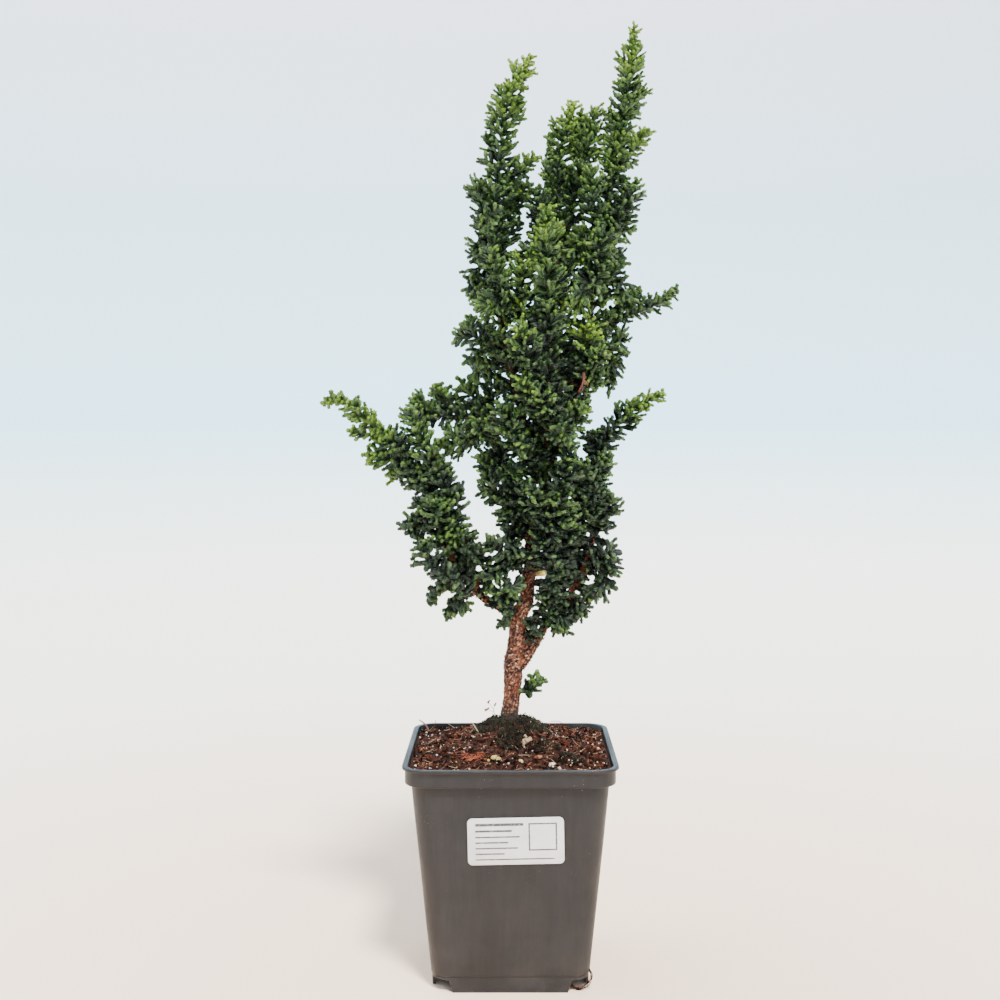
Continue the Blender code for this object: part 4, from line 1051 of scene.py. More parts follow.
def stem_spines(stem, rng):
    """The spines of the fans up one stem, in a spiral."""
    spines = []
    leader = stem.node.endswith("_00")
    foot = max(0.0, stem.green_start - FAN_LEAD)
    green = stem.length - foot
    count = max(LEAST_FANS, round(green / FAN_SPACING))
    first = rng.uniform(0, 2 * math.pi)
    wave = rng.uniform()
    side = side_of(point_at(stem.curve, foot)[1])
    reaches = REACH_FULLNESS * [stem.reach[0], stem.reach[0], stem.reach[0], stem.reach[1]]
    for index, share in enumerate((np.arange(count) + 0.5) / count):
        distance = foot + green * share
        here, tangent = point_at(stem.curve, distance)
        side = square_to(side, tangent)
        azimuth = first + index * GOLDEN_ANGLE + rng.uniform(-AZIMUTH_STRAY, AZIMUTH_STRAY)
        outward = outward_from(side, tangent, azimuth)
        lean = np.interp(share, (0.0, 1.0), (LEAN_AT_FOOT, LEAN_AT_TIP)) * around(rng, LEAN_UNEVEN)
        reach = np.interp(share, REACH_STATIONS, reaches) * around(rng, UNEVEN)
        reach *= 1 + CLUMPS * math.sin(2 * math.pi * (distance / CLUMP_LENGTH + wave))
        youth = youth_of(leader, share, here)
        spines.append(spine_row(here, tangent, outward, lean, reach, youth, rng))
    return spines


def hides_stub(spine):
    """Whether a fan stands right before the end of the cut stub."""
    stub = place(*STUB_END)
    for share in STUB_CHECKS:
        point = spine["root"] + spine["direction"] * spine["length"] * share
        if point[1] < stub[1] and math.hypot(point[0] - stub[0], point[2] - stub[2]) < STUB_CLEARING:
            return True
    return False


def add_fans(batch, spines, rng):
    """Adds the fans that belong to the spines, apart from any that hide the stub."""
    spines = [spine for spine in spines if not hides_stub(spine)]
    fingers = [row for spine in spines for row in fan_fingers(spine, rng)]
    grow(batch, spines, SPINE_RINGS, SPINE_GIRTH, FINGER_SIDES, FLATNESS, rng, BEADS)
    grow(batch, fingers, FINGER_RINGS, FINGER_GIRTH, FINGER_SIDES, FLATNESS, rng, BEADS)


def add_stem(batch, stem, rng):
    """Adds a stem's thin axis and its fans."""
    leader = stem.node.endswith("_00")
    axis = part_of(stem.curve, stem.green_start, stem.length - AXIS_MARGIN, AXIS_STEP)
    share = np.linspace(0.0, 1.0, len(axis))
    radii = np.interp(share, (0.0, 1.0), (min(stem.thick, AXIS_RADIUS), AXIS_TIP_RADIUS))
    radii *= np.where(np.arange(len(axis)) % 2 == 0, *AXIS_GIRTH)
    youth = [youth_of(leader, s, here) + AXIS_YOUTH for s, here in zip(share, axis)]
    brown = np.interp(share, (0.0, AXIS_BROWN_END), (AXIS_BROWN, 0.0))
    add_tube(batch, axis, radii, FINGER_SIDES,
             young=np.append(np.repeat(youth, FINGER_SIDES), youth[-1]),
             vary=0.5, dead=np.append(np.repeat(brown, FINGER_SIDES), 0.0), along=0.3)
    add_fans(batch, stem_spines(stem, rng), rng)


def make_foliage(stems, look):
    """One piece of fine foliage for each leafy node."""
    rng = np.random.default_rng(SEED)
    batches = {}
    for stem in stems:
        add_stem(batches.setdefault(stem.node, Batch()), stem, rng)
    for node, batch in batches.items():
        batch.piece("foliage_" + node, look, "foliage", [node])


def make_wood_fans(branches, look):
    """Small fans that grow straight from the branches' wood, inside the crown."""
    rng = np.random.default_rng(SEED + 1)
    batch = Batch()
    spines = []
    for branch in branches.values():
        index = 0
        spacing = ARM_FAN_SPACING if branch.name.endswith("_arm") else WOOD_FAN_SPACING
        for distance in np.arange(WOOD_FAN_START, branch.wood_end - WOOD_FAN_MARGIN, spacing):
            here, tangent = point_at(branch.curve, distance)
            index += 1
            if here[2] < WOOD_FAN_HEIGHTS.get(branch.name, WOOD_FAN_HEIGHT):
                continue
            outward = outward_from(side_of(tangent), tangent, index * GOLDEN_ANGLE)
            reach = branch.radius_at(distance) + rng.uniform(*WOOD_FAN_REACH)
            lean = math.radians(rng.uniform(*WOOD_FAN_LEAN))
            youth = youth_of(False, WOOD_FAN_AGE, here)
            spines.append(spine_row(here, tangent, outward, lean, reach, youth, rng))
    add_fans(batch, spines, rng)
    batch.piece("foliage_on_wood", look, "foliage")


# Pot and label


def body_half_width(z):
    """Half of the pot body's outer width at a height."""
    share = (z - FOOT_HEIGHT) / (BAND_BOTTOM - FOOT_HEIGHT)
    return (BODY_FOOT_WIDTH + (BODY_TOP_WIDTH - BODY_FOOT_WIDTH) * share) / 2


def inner_half_width(z):
    """Half of the pot's inner width at a height."""
    if z > BAND_BOTTOM:
        return BAND_WIDTH / 2 - POT_WALL
    return body_half_width(z) - POT_WALL


def corner_at(half):
    """Corner radius that grows a little with the pot's width."""
    return CORNER_RADIUS * half / (RIM_WIDTH / 2)


def rounded_square(half, corner, z):
    """Points round a square with rounded corners and divided sides, anticlockwise from above."""
    points = []
    flat = half - corner
    for quarter in range(4):
        turn = math.pi / 2 * quarter
        c, s = math.cos(turn), math.sin(turn)
        local = []
        for step in range(CORNER_STEPS + 1):
            angle = math.pi / 2 * step / CORNER_STEPS
            local.append((flat + corner * math.cos(angle), flat + corner * math.sin(angle)))
        for step in range(1, SIDE_STEPS):
            local.append((flat - 2 * flat * step / SIDE_STEPS, half))
        points += [(x * c - y * s, x * s + y * c, z) for x, y in local]
    return points


def wall_wave(point):
    """How far the thin wall bulges at a point."""
    x, y, z = point
    fade = min(1.0, z / WAVE_FADE_FOOT) * min(1.0, (POT_HEIGHT - z) / WAVE_FADE_RIM + WAVE_AT_RIM)
    return WALL_WAVE * fade * noise.noise(Vector((WAVE_ACROSS * x, WAVE_ACROSS * y, WAVE_UP * z)))


def waved(ring):
    """A ring of the pot pushed in and out a little, as moulded plastic is."""
    out = []
    for point in ring:
        share = 1 + wall_wave(point) / max(abs(point[0]), abs(point[1]))
        out.append((point[0] * share, point[1] * share, point[2]))
    return out


def pot_rings():
    """Rings up the pot's outside, over its rim and down its inside."""
    rim, band, foot = RIM_WIDTH / 2, BAND_WIDTH / 2, FOOT_WIDTH / 2
    mouth = inner_half_width(POT_HEIGHT)
    rim_under = POT_HEIGHT - RIM_THICKNESS
    edge = EDGE_ROUNDING
    top = BAND_BOTTOM - 2 * edge
    outside = [(foot, 0.0), (foot + edge / 2, FOOT_HEIGHT / 2), (foot + edge / 2, FOOT_HEIGHT - edge),
               (BODY_FOOT_WIDTH / 2 - edge / 3, FOOT_HEIGHT - edge / 3)]
    outside += [(body_half_width(z), z) for z in np.linspace(FOOT_HEIGHT + edge, top, WALL_STEPS)]
    outside += [
        (band - edge, BAND_BOTTOM - edge), (band - edge / 3, BAND_BOTTOM - edge / 3),
        (band, BAND_BOTTOM + edge), (band, (BAND_BOTTOM + rim_under) / 2),
        (band, rim_under - edge), (band + edge / 3, rim_under - edge / 3),
        (rim - edge, rim_under), (rim - edge / 3, rim_under + edge / 3), (rim, rim_under + edge),
        (rim, POT_HEIGHT - edge), (rim - edge / 3, POT_HEIGHT - edge / 3), (rim - edge, POT_HEIGHT),
    ]
    inside = [
        (mouth + edge, POT_HEIGHT), (mouth + edge / 3, POT_HEIGHT - edge / 3), (mouth, POT_HEIGHT - edge),
        (mouth, BAND_BOTTOM + edge), (inner_half_width(top), BAND_BOTTOM - edge),
        (inner_half_width(INSIDE_RING_HEIGHT), INSIDE_RING_HEIGHT),
        (inner_half_width(FLOOR_TOP), FLOOR_TOP),
    ]
    rings = [rounded_square(half, corner_at(half), z) for half, z in outside]
    rings += [rounded_square(half, corner_at(half) - POT_WALL, z) for half, z in inside]
    return [waved(ring) for ring in rings]


def square(half, z):
    """A sharp square ring."""
    return [(half, half, z), (-half, half, z), (-half, -half, z), (half, -half, z)]


def loft_faces(rings, sides):
    """Faces of a closed loft whose rings run anticlockwise seen from its last end."""
    bottom = tuple(reversed(range(sides)))
    top = tuple(range((rings - 1) * sides, rings * sides))
    return [bottom] + quads_between(rings, sides) + [top]


def loft(rings):
    """A closed body through rings of equal point count, capped at both ends."""
    vertices = [point for ring in rings for point in ring]
    return vertices, loft_faces(len(rings), len(rings[0]))


def faced_mesh(name, points, faces):
    """A mesh from points in millimetres and faces, shaded smooth."""
    mesh = bpy.data.meshes.new(name)
    mesh.from_pydata([Vector(point) * MM for point in points], [], faces)
    mesh.polygons.foreach_set("use_smooth", [True] * len(faces))
    mesh.update()
    return mesh


def make_body(name, body):
    """An object from a body's points and faces."""
    return new_object(name, faced_mesh(name, *body))


def after_modifiers(made, spare=()):
    """The mesh of an object with its modifiers applied; the object and the spare ones go."""
    bpy.context.view_layer.update()
    mesh = bpy.data.meshes.new_from_object(made.evaluated_get(bpy.context.evaluated_depsgraph_get()))
    for used in [made, *spare]:
        bpy.data.objects.remove(used)
    return mesh


def underside_cutter():
    """The space under the floor, between the skirts and the middle pad."""
    outer, inner = FOOT_WIDTH / 2 - POT_WALL, PAD_WIDTH / 2
    rings = [square(outer, -CUT_MARGIN), square(outer, FLOOR_BOTTOM),
             square(inner, FLOOR_BOTTOM), square(inner, -CUT_MARGIN)]
    vertices, faces = loft(rings)
    last = len(vertices) - 4
    underside = [(last + k, last + (k + 1) % 4, (k + 1) % 4, k) for k in range(4)]
    return vertices, faces[1:-1] + underside


def corner_cutter(turn):
    """The open corner of the foot, in the quarter that the turn gives."""
    far = RIM_WIDTH / 2
    slope = (SKIRT_HALF_TOP - SKIRT_HALF_FOOT) / FLOOR_BOTTOM
    rings = []
    for z in (-CUT_MARGIN, FLOOR_BOTTOM):
        near = SKIRT_HALF_FOOT + slope * z
        ring = [(near, near), (far, near), (far, far), (near, far)]
        rings.append([(x * math.cos(turn) - y * math.sin(turn),
                       x * math.sin(turn) + y * math.cos(turn), z) for x, y in ring])
    return loft(rings)


def drain_cutter(x, y):
    """One round drain hole through the floor."""
    heights = (FLOOR_BOTTOM - CUT_MARGIN, FLOOR_TOP + CUT_MARGIN)
    angles = [2 * math.pi * k / DRAIN_SIDES for k in range(DRAIN_SIDES)]
    return loft([[(x + DRAIN_RADIUS * math.cos(a), y + DRAIN_RADIUS * math.sin(a), z) for a in angles]
                 for z in heights])


def pot_cutters():
    """All that is cut out of the pot: the foot's hollows, the drain holes and the well."""
    bodies = [underside_cutter()]
    for quarter in range(4):
        bodies.append(corner_cutter(quarter * math.pi / 2))
        x = DRAIN_OFFSET * (1 if quarter in (0, 3) else -1)
        y = DRAIN_OFFSET * (1 if quarter < 2 else -1)
        bodies.append(drain_cutter(x, y))
    bodies.append(loft([square(WELL_WIDTH / 2, z) for z in (WELL_FLOOR, FLOOR_TOP + CUT_MARGIN)]))
    return bodies


def make_pot(look):
    """The moulded pot with its foot cut open underneath."""
    whole = make_body("pot_whole", loft(pot_rings()))
    cutters = [make_body("pot_cutter", body) for body in pot_cutters()]
    for cutter in cutters:
        modifier = whole.modifiers.new("cut", "BOOLEAN")
        modifier.operation = "DIFFERENCE"
        modifier.solver = "EXACT"
        modifier.object = cutter
    mesh = after_modifiers(whole, cutters)
    mesh.set_sharp_from_angle(angle=SHARP_ANGLE)
    add_piece("pot_moulding", mesh, look, ["pot"])


def make_label(look):
    """The sticker on the front wall, turned a little and leaning as the wall does."""
    half_width, half_height = LABEL_WIDTH / 2, LABEL_HEIGHT / 2
    ring = []
    for quarter, (sx, sy) in enumerate(((1, 1), (-1, 1), (-1, -1), (1, -1))):
        for step in range(CORNER_STEPS + 1):
            angle = math.pi / 2 * (quarter + step / CORNER_STEPS)
            ring.append((sx * (half_width - LABEL_CORNER) + LABEL_CORNER * math.cos(angle),
                         sy * (half_height - LABEL_CORNER) + LABEL_CORNER * math.sin(angle)))
    round_off = LABEL_THICKNESS / 3
    rings = []
    for inset, z in ((0.0, 0.0), (0.0, LABEL_THICKNESS - round_off), (round_off, LABEL_THICKNESS)):
        share = 1 - inset / half_height
        rings.append([(x * share, y * share, z) for x, y in ring])
    label = make_body("sticker", loft(rings))
    label.data.set_sharp_from_angle(angle=SHARP_ANGLE)
    label.data.materials.append(look)
    slope = math.atan((BODY_TOP_WIDTH - BODY_FOOT_WIDTH) / 2 / (BAND_BOTTOM - FOOT_HEIGHT))
    off = FIT_GAP / math.cos(slope)
    label.location = (LABEL_X * MM, -(body_half_width(LABEL_Z) + off) * MM, LABEL_Z * MM)
    label.rotation_euler = (math.pi / 2 + slope, -LABEL_TURN, 0.0)
    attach(label, "root")
    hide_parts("label")


# Soil and what lies or grows on it


def wall_reach(angle):
    """Distance from the middle to the soil's edge at a bearing."""
    half = inner_half_width(POT_HEIGHT) - FIT_GAP
    inner = half - (CORNER_RADIUS - POT_WALL)
    c, s = np.abs(np.cos(angle)), np.abs(np.sin(angle))
    flat = half / np.maximum(c, s)
    b = inner * (c + s)
    corner = CORNER_RADIUS - POT_WALL
    rounded = b + np.sqrt(np.maximum(b * b - 2 * inner * inner + corner * corner, 0.0))
    return np.where(flat * np.minimum(c, s) > inner, rounded, flat)


def soil_height(x, y):
    """Height of the soil's surface, mounded round the trunk."""
    x, y = np.asarray(x, float), np.asarray(y, float)
    reach = wall_reach(np.arctan2(y, x))
    share = np.clip((np.hypot(x, y) - MOUND_RADIUS) / (reach - MOUND_RADIUS), 0.0, 1.0)
    rise = (MOUND_HEIGHT - SOIL_EDGE_HEIGHT) * (1 - share) ** MOUND_FALL
    wave = np.sin(0.31 * x + 1.1) * np.cos(0.27 * y - 0.4) + 0.6 * np.sin(0.55 * x - 0.48 * y)
    fade = np.minimum(1.0, 4 * (1 - share)) * np.minimum(1.0, 0.3 + share)
    return SOIL_EDGE_HEIGHT + rise + fade * SOIL_BUMP * wave


def crumbs(x, y):
    """Height of the small crumbs at a point."""
    where = Vector((x / CRUMB_SIZE, y / CRUMB_SIZE, 0.3))
    round_part = 1.0 - 2.0 * noise.voronoi(where)[0][0]
    rough_part = noise.fractal(CRUMB_DETAIL * where, 0.8, 2.1, 3)
    return CRUMB_HEIGHT * (CRUMB_ROUNDNESS * round_part + CRUMB_ROUGHNESS * rough_part)


def soil_ring(reach, z):
    """A ring of the soil's sides; reach holds its distance from the middle at each bearing."""
    x, y = reach * np.cos(SOIL_ANGLES), reach * np.sin(SOIL_ANGLES)
    return np.stack([x, y, np.broadcast_to(z, x.shape)], axis=1)


def make_soil(trunk_middle, look):
    """The pot's filling with a crumbly top and a hole for the trunk."""
    across, along = np.cos(SOIL_ANGLES), np.sin(SOIL_ANGLES)
    wall = wall_reach(SOIL_ANGLES)
    mouth = inner_half_width(POT_HEIGHT) - FIT_GAP
    plug = WELL_WIDTH / 2 - FIT_GAP
    foot = inner_half_width(FLOOR_TOP + FIT_GAP) - FIT_GAP
    ledge = inner_half_width(BAND_BOTTOM - EDGE_ROUNDING) - FIT_GAP
    square_reach = plug / np.maximum(np.abs(across), np.abs(along))
    rings = [
        soil_ring(square_reach, WELL_FLOOR + FIT_GAP),
        soil_ring(square_reach, FLOOR_TOP + FIT_GAP),
        soil_ring(wall * foot / mouth, FLOOR_TOP + FIT_GAP),
        soil_ring(wall * ledge / mouth, BAND_BOTTOM - EDGE_ROUNDING),
        soil_ring(wall, BAND_BOTTOM + EDGE_ROUNDING + FIT_GAP),
        soil_ring(wall, SOIL_EDGE_HEIGHT - SOIL_LIP),
    ]
    hole = SOIL_HOLE_RADIUS + trunk_middle[0] * across + trunk_middle[1] * along
    for share in np.linspace(1.0, 0.0, SOIL_RINGS):
        reach = hole + (wall - hole) * share
        x, y = reach * across, reach * along
        fade = (min(1.0, CRUMB_FADE_WALL * (1 - share))
                * min(1.0, CRUMBS_AT_TRUNK + CRUMB_FADE_TRUNK * share))
        z = soil_height(x, y) + fade * np.array([crumbs(*point) for point in zip(x, y)])
        rings.append(soil_ring(reach, z))
    for z in (MOUND_HEIGHT - SOIL_HOLE_DEPTH, TRUNK_FOOT - 2 * FIT_GAP):
        rings.append(soil_ring(hole, z))
    add_piece("soil_body", faced_mesh("soil_body", *loft(rings)), look, ["soil"])


def on_soil(x, y, lift=0.0):
    """The point on the soil's surface above or below (x, y)."""
    return np.array([x, y, float(soil_height(x, y)) + lift])


def soil_places(count, rng):
    """Random places on the soil between the wall and the trunk."""
    half = inner_half_width(POT_HEIGHT) - PLACES_MARGIN
    places = []
    while len(places) < count:
        x, y = rng.uniform(-half, half, 2)
        inside = TRUNK_CLEAR < math.hypot(x, y) < float(wall_reach(math.atan2(y, x))) - WALL_CLEAR
        if inside and not under_moss(x, y, rng):
            places.append((x, y))
    return places


def lying_row(x, y, length, radius, tilt, rng, lift=0.0, bend=0.15, **values):
    """A body that lies on the soil, tilted up by at most the given share."""
    heading = rng.uniform(0, 2 * math.pi)
    direction = unit(np.array([math.cos(heading), math.sin(heading), rng.uniform(*LYING_TILT) * tilt]))
    half = inner_half_width(POT_HEIGHT) - FIT_GAP - radius
    start = on_soil(x, y, lift) - direction * length * 0.5
    for end in (start, start + direction * length):
        over = np.maximum(np.abs(end[:2]) - half, 0.0) * np.sign(end[:2])
        start[:2] -= over
    start[2] += LYING_RISE * radius
    return dict(root=start, direction=direction,
                normal=turned(square_to(UP, direction), direction, rng.uniform(-LYING_ROLL, LYING_ROLL)),
                length=length, radius=radius, bend=rng.uniform(-bend, bend), vary=rng.uniform(), **values)


def under_moss(x, y, rng):
    """Whether the moss round the trunk's foot hides what lies at a place."""
    middle_x, middle_y, wide, deep, _ = MOSS[0]
    inside = math.hypot((x - middle_x) / wide, (y - middle_y) / deep) < MOSS_EDGE
    return inside and rng.uniform() < MOSS_COVER


def make_chips(look):
    """Bark chips and peat crumbs that cover the soil."""
    rng = np.random.default_rng(SEED + 3)
    rows = []
    for x, y in soil_places(CHIPS, rng):
        size = rng.lognormal(*CHIP_SIZES)
        rows.append(lying_row(x, y, CHIP_LENGTH * size, CHIP_RADIUS * size ** CHIP_SLIMNESS, CHIP_TILT,
                              rng, lift=rng.uniform(0.0, 1.0)))
    batch = Batch()
    grow(batch, rows, CHIP_RINGS, CHIP_GIRTH, 4, 0.5, rng, rough=0.3)
    batch.piece("bark_chips", look, "soil")


def make_fibres(look):
    """Thin coir and root fibres among the chips."""
    rng = np.random.default_rng(SEED + 4)
    rows = []
    for x, y in soil_places(FIBRES, rng):
        rows.append(lying_row(x, y, rng.uniform(*FIBRE_LENGTH), rng.uniform(*FIBRE_RADIUS), FIBRE_TILT, rng,
                              lift=rng.uniform(*FIBRE_LIFT), bend=FIBRE_BEND))
    for _ in range(FIBRE_KNOT):
        x = RED_FIBRES[0] + rng.normal(0.0, RED_FIBRES_SPREAD[0])
        y = RED_FIBRES[1] + rng.normal(0.0, RED_FIBRES_SPREAD[1])
        row = lying_row(x, y, rng.uniform(*RED_FIBRE_LENGTH), rng.uniform(*RED_FIBRE_RADIUS), RED_FIBRE_TILT,
                        rng, lift=rng.uniform(*RED_FIBRE_LIFT), bend=FIBRE_BEND)
        row["vary"] = rng.uniform(*RED_FIBRE_TONE)
        rows.append(row)
    batch = Batch()
    grow(batch, rows, FIBRE_RINGS, FIBRE_GIRTH, 4, 1.0, rng)
    batch.piece("fibres", look, "soil")


def pebble_row(x, y, size, tone, rng, lift=0.0):
    """A rounded grain that sits on the soil."""
    direction = unit(rng.normal(0.0, 1.0, 3))
    middle = on_soil(x, y, lift + GRAIN_RISE * size)
    return dict(root=middle - direction * size * GRAIN_LENGTH / 2, direction=direction,
                normal=square_to(UP, direction), length=GRAIN_LENGTH * size,
                radius=size * rng.uniform(*GRAIN_RADIUS), bend=rng.uniform(-GRAIN_BEND, GRAIN_BEND),
                vary=tone)


def make_grains(look):
    """Pale perlite and sand grains, and a few larger lumps at the front."""
    rng = np.random.default_rng(SEED + 5)
    rows = []
    for x, y in soil_places(GRAINS, rng):
        size = rng.lognormal(*GRAIN_SIZES)
        rows.append(pebble_row(x, y, size, rng.uniform(0.0, 1.0), rng, rng.uniform(*GRAIN_LIFT)))
    for x, y, size, tone in LUMPS:
        rows.append(pebble_row(x, y, size, tone, rng, LUMP_LIFT))
        for _ in range(SMALL_LUMPS):
            off = rng.normal(0.0, SMALL_LUMP_SPREAD * size, 2)
            small = SMALL_LUMP_SIZE * size
            rows.append(pebble_row(x + off[0], y + off[1], small, tone, rng, 0.4 + 0.3 * size))
    batch = Batch()
    grow(batch, rows, GRAIN_RINGS, GRAIN_GIRTH, 6, 0.9, rng, rough=0.16)
    batch.piece("pale_grains", look, "soil")


def make_moss(look):
    """Dark moss in tufts of short leaves, round the trunk's foot and on a lobe before it."""
    rng = np.random.default_rng(SEED + 6)
    rows = []
    for x, y, wide, deep, count in MOSS:
        for _ in range(count):
            angle, share = rng.uniform(0, 2 * math.pi), math.sqrt(rng.uniform())
            sx, sy = x + wide * share * math.cos(angle), y + deep * share * math.sin(angle)
            if math.hypot(sx, sy) < TRUNK_CLEAR:
                continue
            clump = noise.noise(Vector((MOSS_CLUMP_SCALE * sx, MOSS_CLUMP_SCALE * sy, 0.0)))
            height = MOSS_HEIGHT * (1 - MOSS_FALL * share) + MOSS_CLUMPS * clump
            height = max(MOSS_LEAST_HEIGHT, height) * rng.uniform(*MOSS_UNEVEN)
            stem_root = on_soil(sx, sy)
            lean = unit(UP + np.append(rng.normal(0.0, MOSS_LEAN, 2), 0.0))
            shade = rng.uniform()
            for level in MOSS_LEAF_LEVELS:
                direction = np.append(rng.normal(0.0, 1.0, 2), 0.0) + UP * rng.uniform(*MOSS_LEAF_RISE)
                direction = unit(direction)
                rows.append(dict(root=stem_root + lean * height * level, direction=direction,
                                 normal=square_to(UP, direction), length=rng.uniform(*MOSS_LEAF_LENGTH),
                                 radius=MOSS_LEAF_RADIUS, bend=rng.uniform(0.0, MOSS_LEAF_BEND),
                                 vary=shade))
    batch = Batch()
    grow(batch, rows, MOSS_RINGS, MOSS_GIRTH, 4, 0.55, rng)
    batch.piece("moss", look, "foliage")


def strand(batch, knots, first_radius, last_radius, tone):
    """A thin round strand through the knots."""
    points = smooth_curve(knots)
    points = points[::2] if len(points) > STRAND_KNOTS else points
    radii = np.linspace(first_radius, last_radius, len(points))
    add_tube(batch, points, radii, STRAND_SIDES, vary=tone, along=0.5)


def make_sprouts(look):
    """The dry seedling, the pale sprout, the wires of old stems and the curled leaf."""
    batch = Batch()
    for (x, y), strands in SPROUTS.items():
        foot = on_soil(x, y)
        for offsets, first_radius, last_radius, tone in strands:
            strand(batch, [foot + offset for offset in offsets], first_radius, last_radius, tone)
    batch.piece("dry_sprouts", look, "soil")


def make_rusty_sprig(look):
    """A dead sprig that has turned rust-red, with one side tip."""
    batch = Batch()
    knots = [place(*knot) for knot in RUSTY_SPRIG]
    strand(batch, knots, 0.95, 0.4, 1.5)
    strand(batch, [knots[1], (knots[1] + place(*RUSTY_TIP)) / 2, place(*RUSTY_TIP)], 0.7, 0.35, 1.46)
    batch.piece("rusty_sprig", look, "foliage")


def make_root_wisp(look):
    """Fine roots that hang out of one open corner of the foot and curl back up beside it."""
    rng = np.random.default_rng(SEED + 7)
    batch = Batch()
    loop = np.array(WISP_LOOP)
    for index in range(WISP_ROOTS):
        last = len(loop) if index < WISP_ROOTS // 3 else rng.integers(3, len(loop))
        knots = loop[:last] + rng.normal(0.0, WISP_STRAY, (last, 3))
        knots[0] += rng.uniform(-1.0, 1.0, 3) * WISP_FOOT_SPREAD
        knots[:, 2] = np.maximum(knots[:, 2], WISP_LEAST_HEIGHT)
        strand(batch, knots, rng.uniform(*WISP_RADIUS), WISP_TIP_RADIUS, rng.uniform(*WISP_TONE))
    batch.piece("root_wisp", look, "soil")


# Wood


def wood_bodies(branches, twigs):
    """The trunk, the branches and the twigs as closed tubes that run into each other."""
    batch = Batch()
    for branch in branches.values():
        points = part_of(branch.curve, 0.0, branch.wood_end, WOOD_STEP)
        distances = np.linspace(0.0, branch.wood_end, len(points))
        radii = np.array([branch.radius_at(d) for d in distances])
        if branch.name != "trunk":
            radii *= 1 + COLLAR * np.exp(-distances / COLLAR_LENGTH)
        add_tube(batch, points, radii, TRUNK_SIDES if branch.name == "trunk" else BRANCH_SIDES)
    for twig in twigs:
        add_tube(batch, twig, np.full(len(twig), TWIG_RADIUS), TWIG_SIDES)
    return batch.mesh("wood_bodies")


def one_skin(mesh, grain):
    """One even skin round all the bodies of a mesh, with the bodies' joints filled."""
    bodies = new_object(mesh.name, mesh)
    modifier = bodies.modifiers.new("skin", "REMESH")
    modifier.mode = "VOXEL"
    modifier.voxel_size = grain * MM
    modifier.use_smooth_shade = True
    return after_modifiers(bodies)


def points_and_normals(mesh):
    """The mesh's points in millimetres and the direction the surface faces at each."""
    points = np.empty(3 * len(mesh.vertices))
    mesh.vertices.foreach_get("co", points)
    normals = np.empty(3 * len(mesh.vertices))
    mesh.vertex_normals.foreach_get("vector", normals)
    return points.reshape(-1, 3) / MM, normals.reshape(-1, 3)


def bark_at(point):
    """How far the bark stands out at a point, from 0 in a crack to 1 on a plate."""
    where = Vector((point[0] / PLATE_WIDTH, point[1] / PLATE_WIDTH, point[2] / PLATE_HEIGHT))
    bent = where + PLATE_BEND * noise.noise_vector(PLATE_BEND_SCALE * where)
    near, next_near = noise.voronoi(bent)[0][:2]
    plate = min(1.0, PLATE_EDGE * (next_near - near))
    shreds = noise.noise(where * Vector(SHRED_SCALES))
    grain = noise.fractal(FINE_BARK_SCALE * where, 0.8, 2.1, 2)
    return float(np.clip(np.dot(BARK_SHARES, (1.0, plate, shreds, grain)), 0.0, 1.0))


def make_wood(branches, twigs, look):
    """The bark-covered wood in one skin, its plates and cracks pushed out and in."""
    skin = one_skin(wood_bodies(branches, twigs), BARK_GRAIN)
    points, normals = points_and_normals(skin)
    relief = np.array([bark_at(point) for point in points])
    rise = np.interp(points[:, 2], BARK_HEIGHTS, BARK_RISES)
    points += normals * ((relief - MIDDLE_RELIEF) * 2 * rise)[:, None]
    skin.vertices.foreach_set("co", (points * MM).ravel())
    skin.update()
    set_values(skin, "relief", relief)
    add_piece("bark_and_wood", skin, look, ["trunk_and_branches"])


def make_flakes(branches, look):
    """Curled flakes that peel off the trunk and the foot of the branches."""
    rng = np.random.default_rng(SEED + 2)
    rows = []
    for name, count in FLAKES.items():
        branch = branches[name]
        for _ in range(count):
            distance = rng.uniform(*FLAKE_REACH[name])
            here, tangent = point_at(branch.curve, distance)
            outward = outward_from(side_of(tangent), tangent, rng.uniform(0, 2 * math.pi))
            aside = np.cross(tangent, outward)
            lie = unit(aside * rng.choice((-1.0, 1.0)) * rng.uniform(*FLAKE_ASIDE)
                       + tangent * rng.uniform(-1.0, 1.0) + outward * rng.uniform(0.0, FLAKE_PEEL))
            rows.append(dict(
                root=here + outward * (branch.radius_at(distance) + rng.uniform(*FLAKE_OFF)),
                direction=lie, normal=square_to(outward, lie), length=rng.uniform(*FLAKE_LENGTH),
                radius=rng.uniform(*FLAKE_RADIUS), bend=rng.uniform(*FLAKE_BEND),
                relief=rng.uniform(*FLAKE_RELIEF)))
    batch = Batch()
    grow(batch, rows, CHIP_RINGS, CHIP_GIRTH, 4, 0.3, rng, rough=0.25)
    batch.piece("bark_flakes", look, "bark")


def make_stub(look):
    """The pale end of a cut twig on the trunk."""
    batch = Batch()
    start, end = place(*STUB_FOOT), place(*STUB_END)
    points = np.linspace(start, end, len(STUB_GIRTH))
    add_tube(batch, points, STUB_RADIUS * STUB_GIRTH, BRANCH_SIDES)
    batch.piece("cut_stub", look, "bark")


# Materials, with the scales of noise and cells as patterns per metre


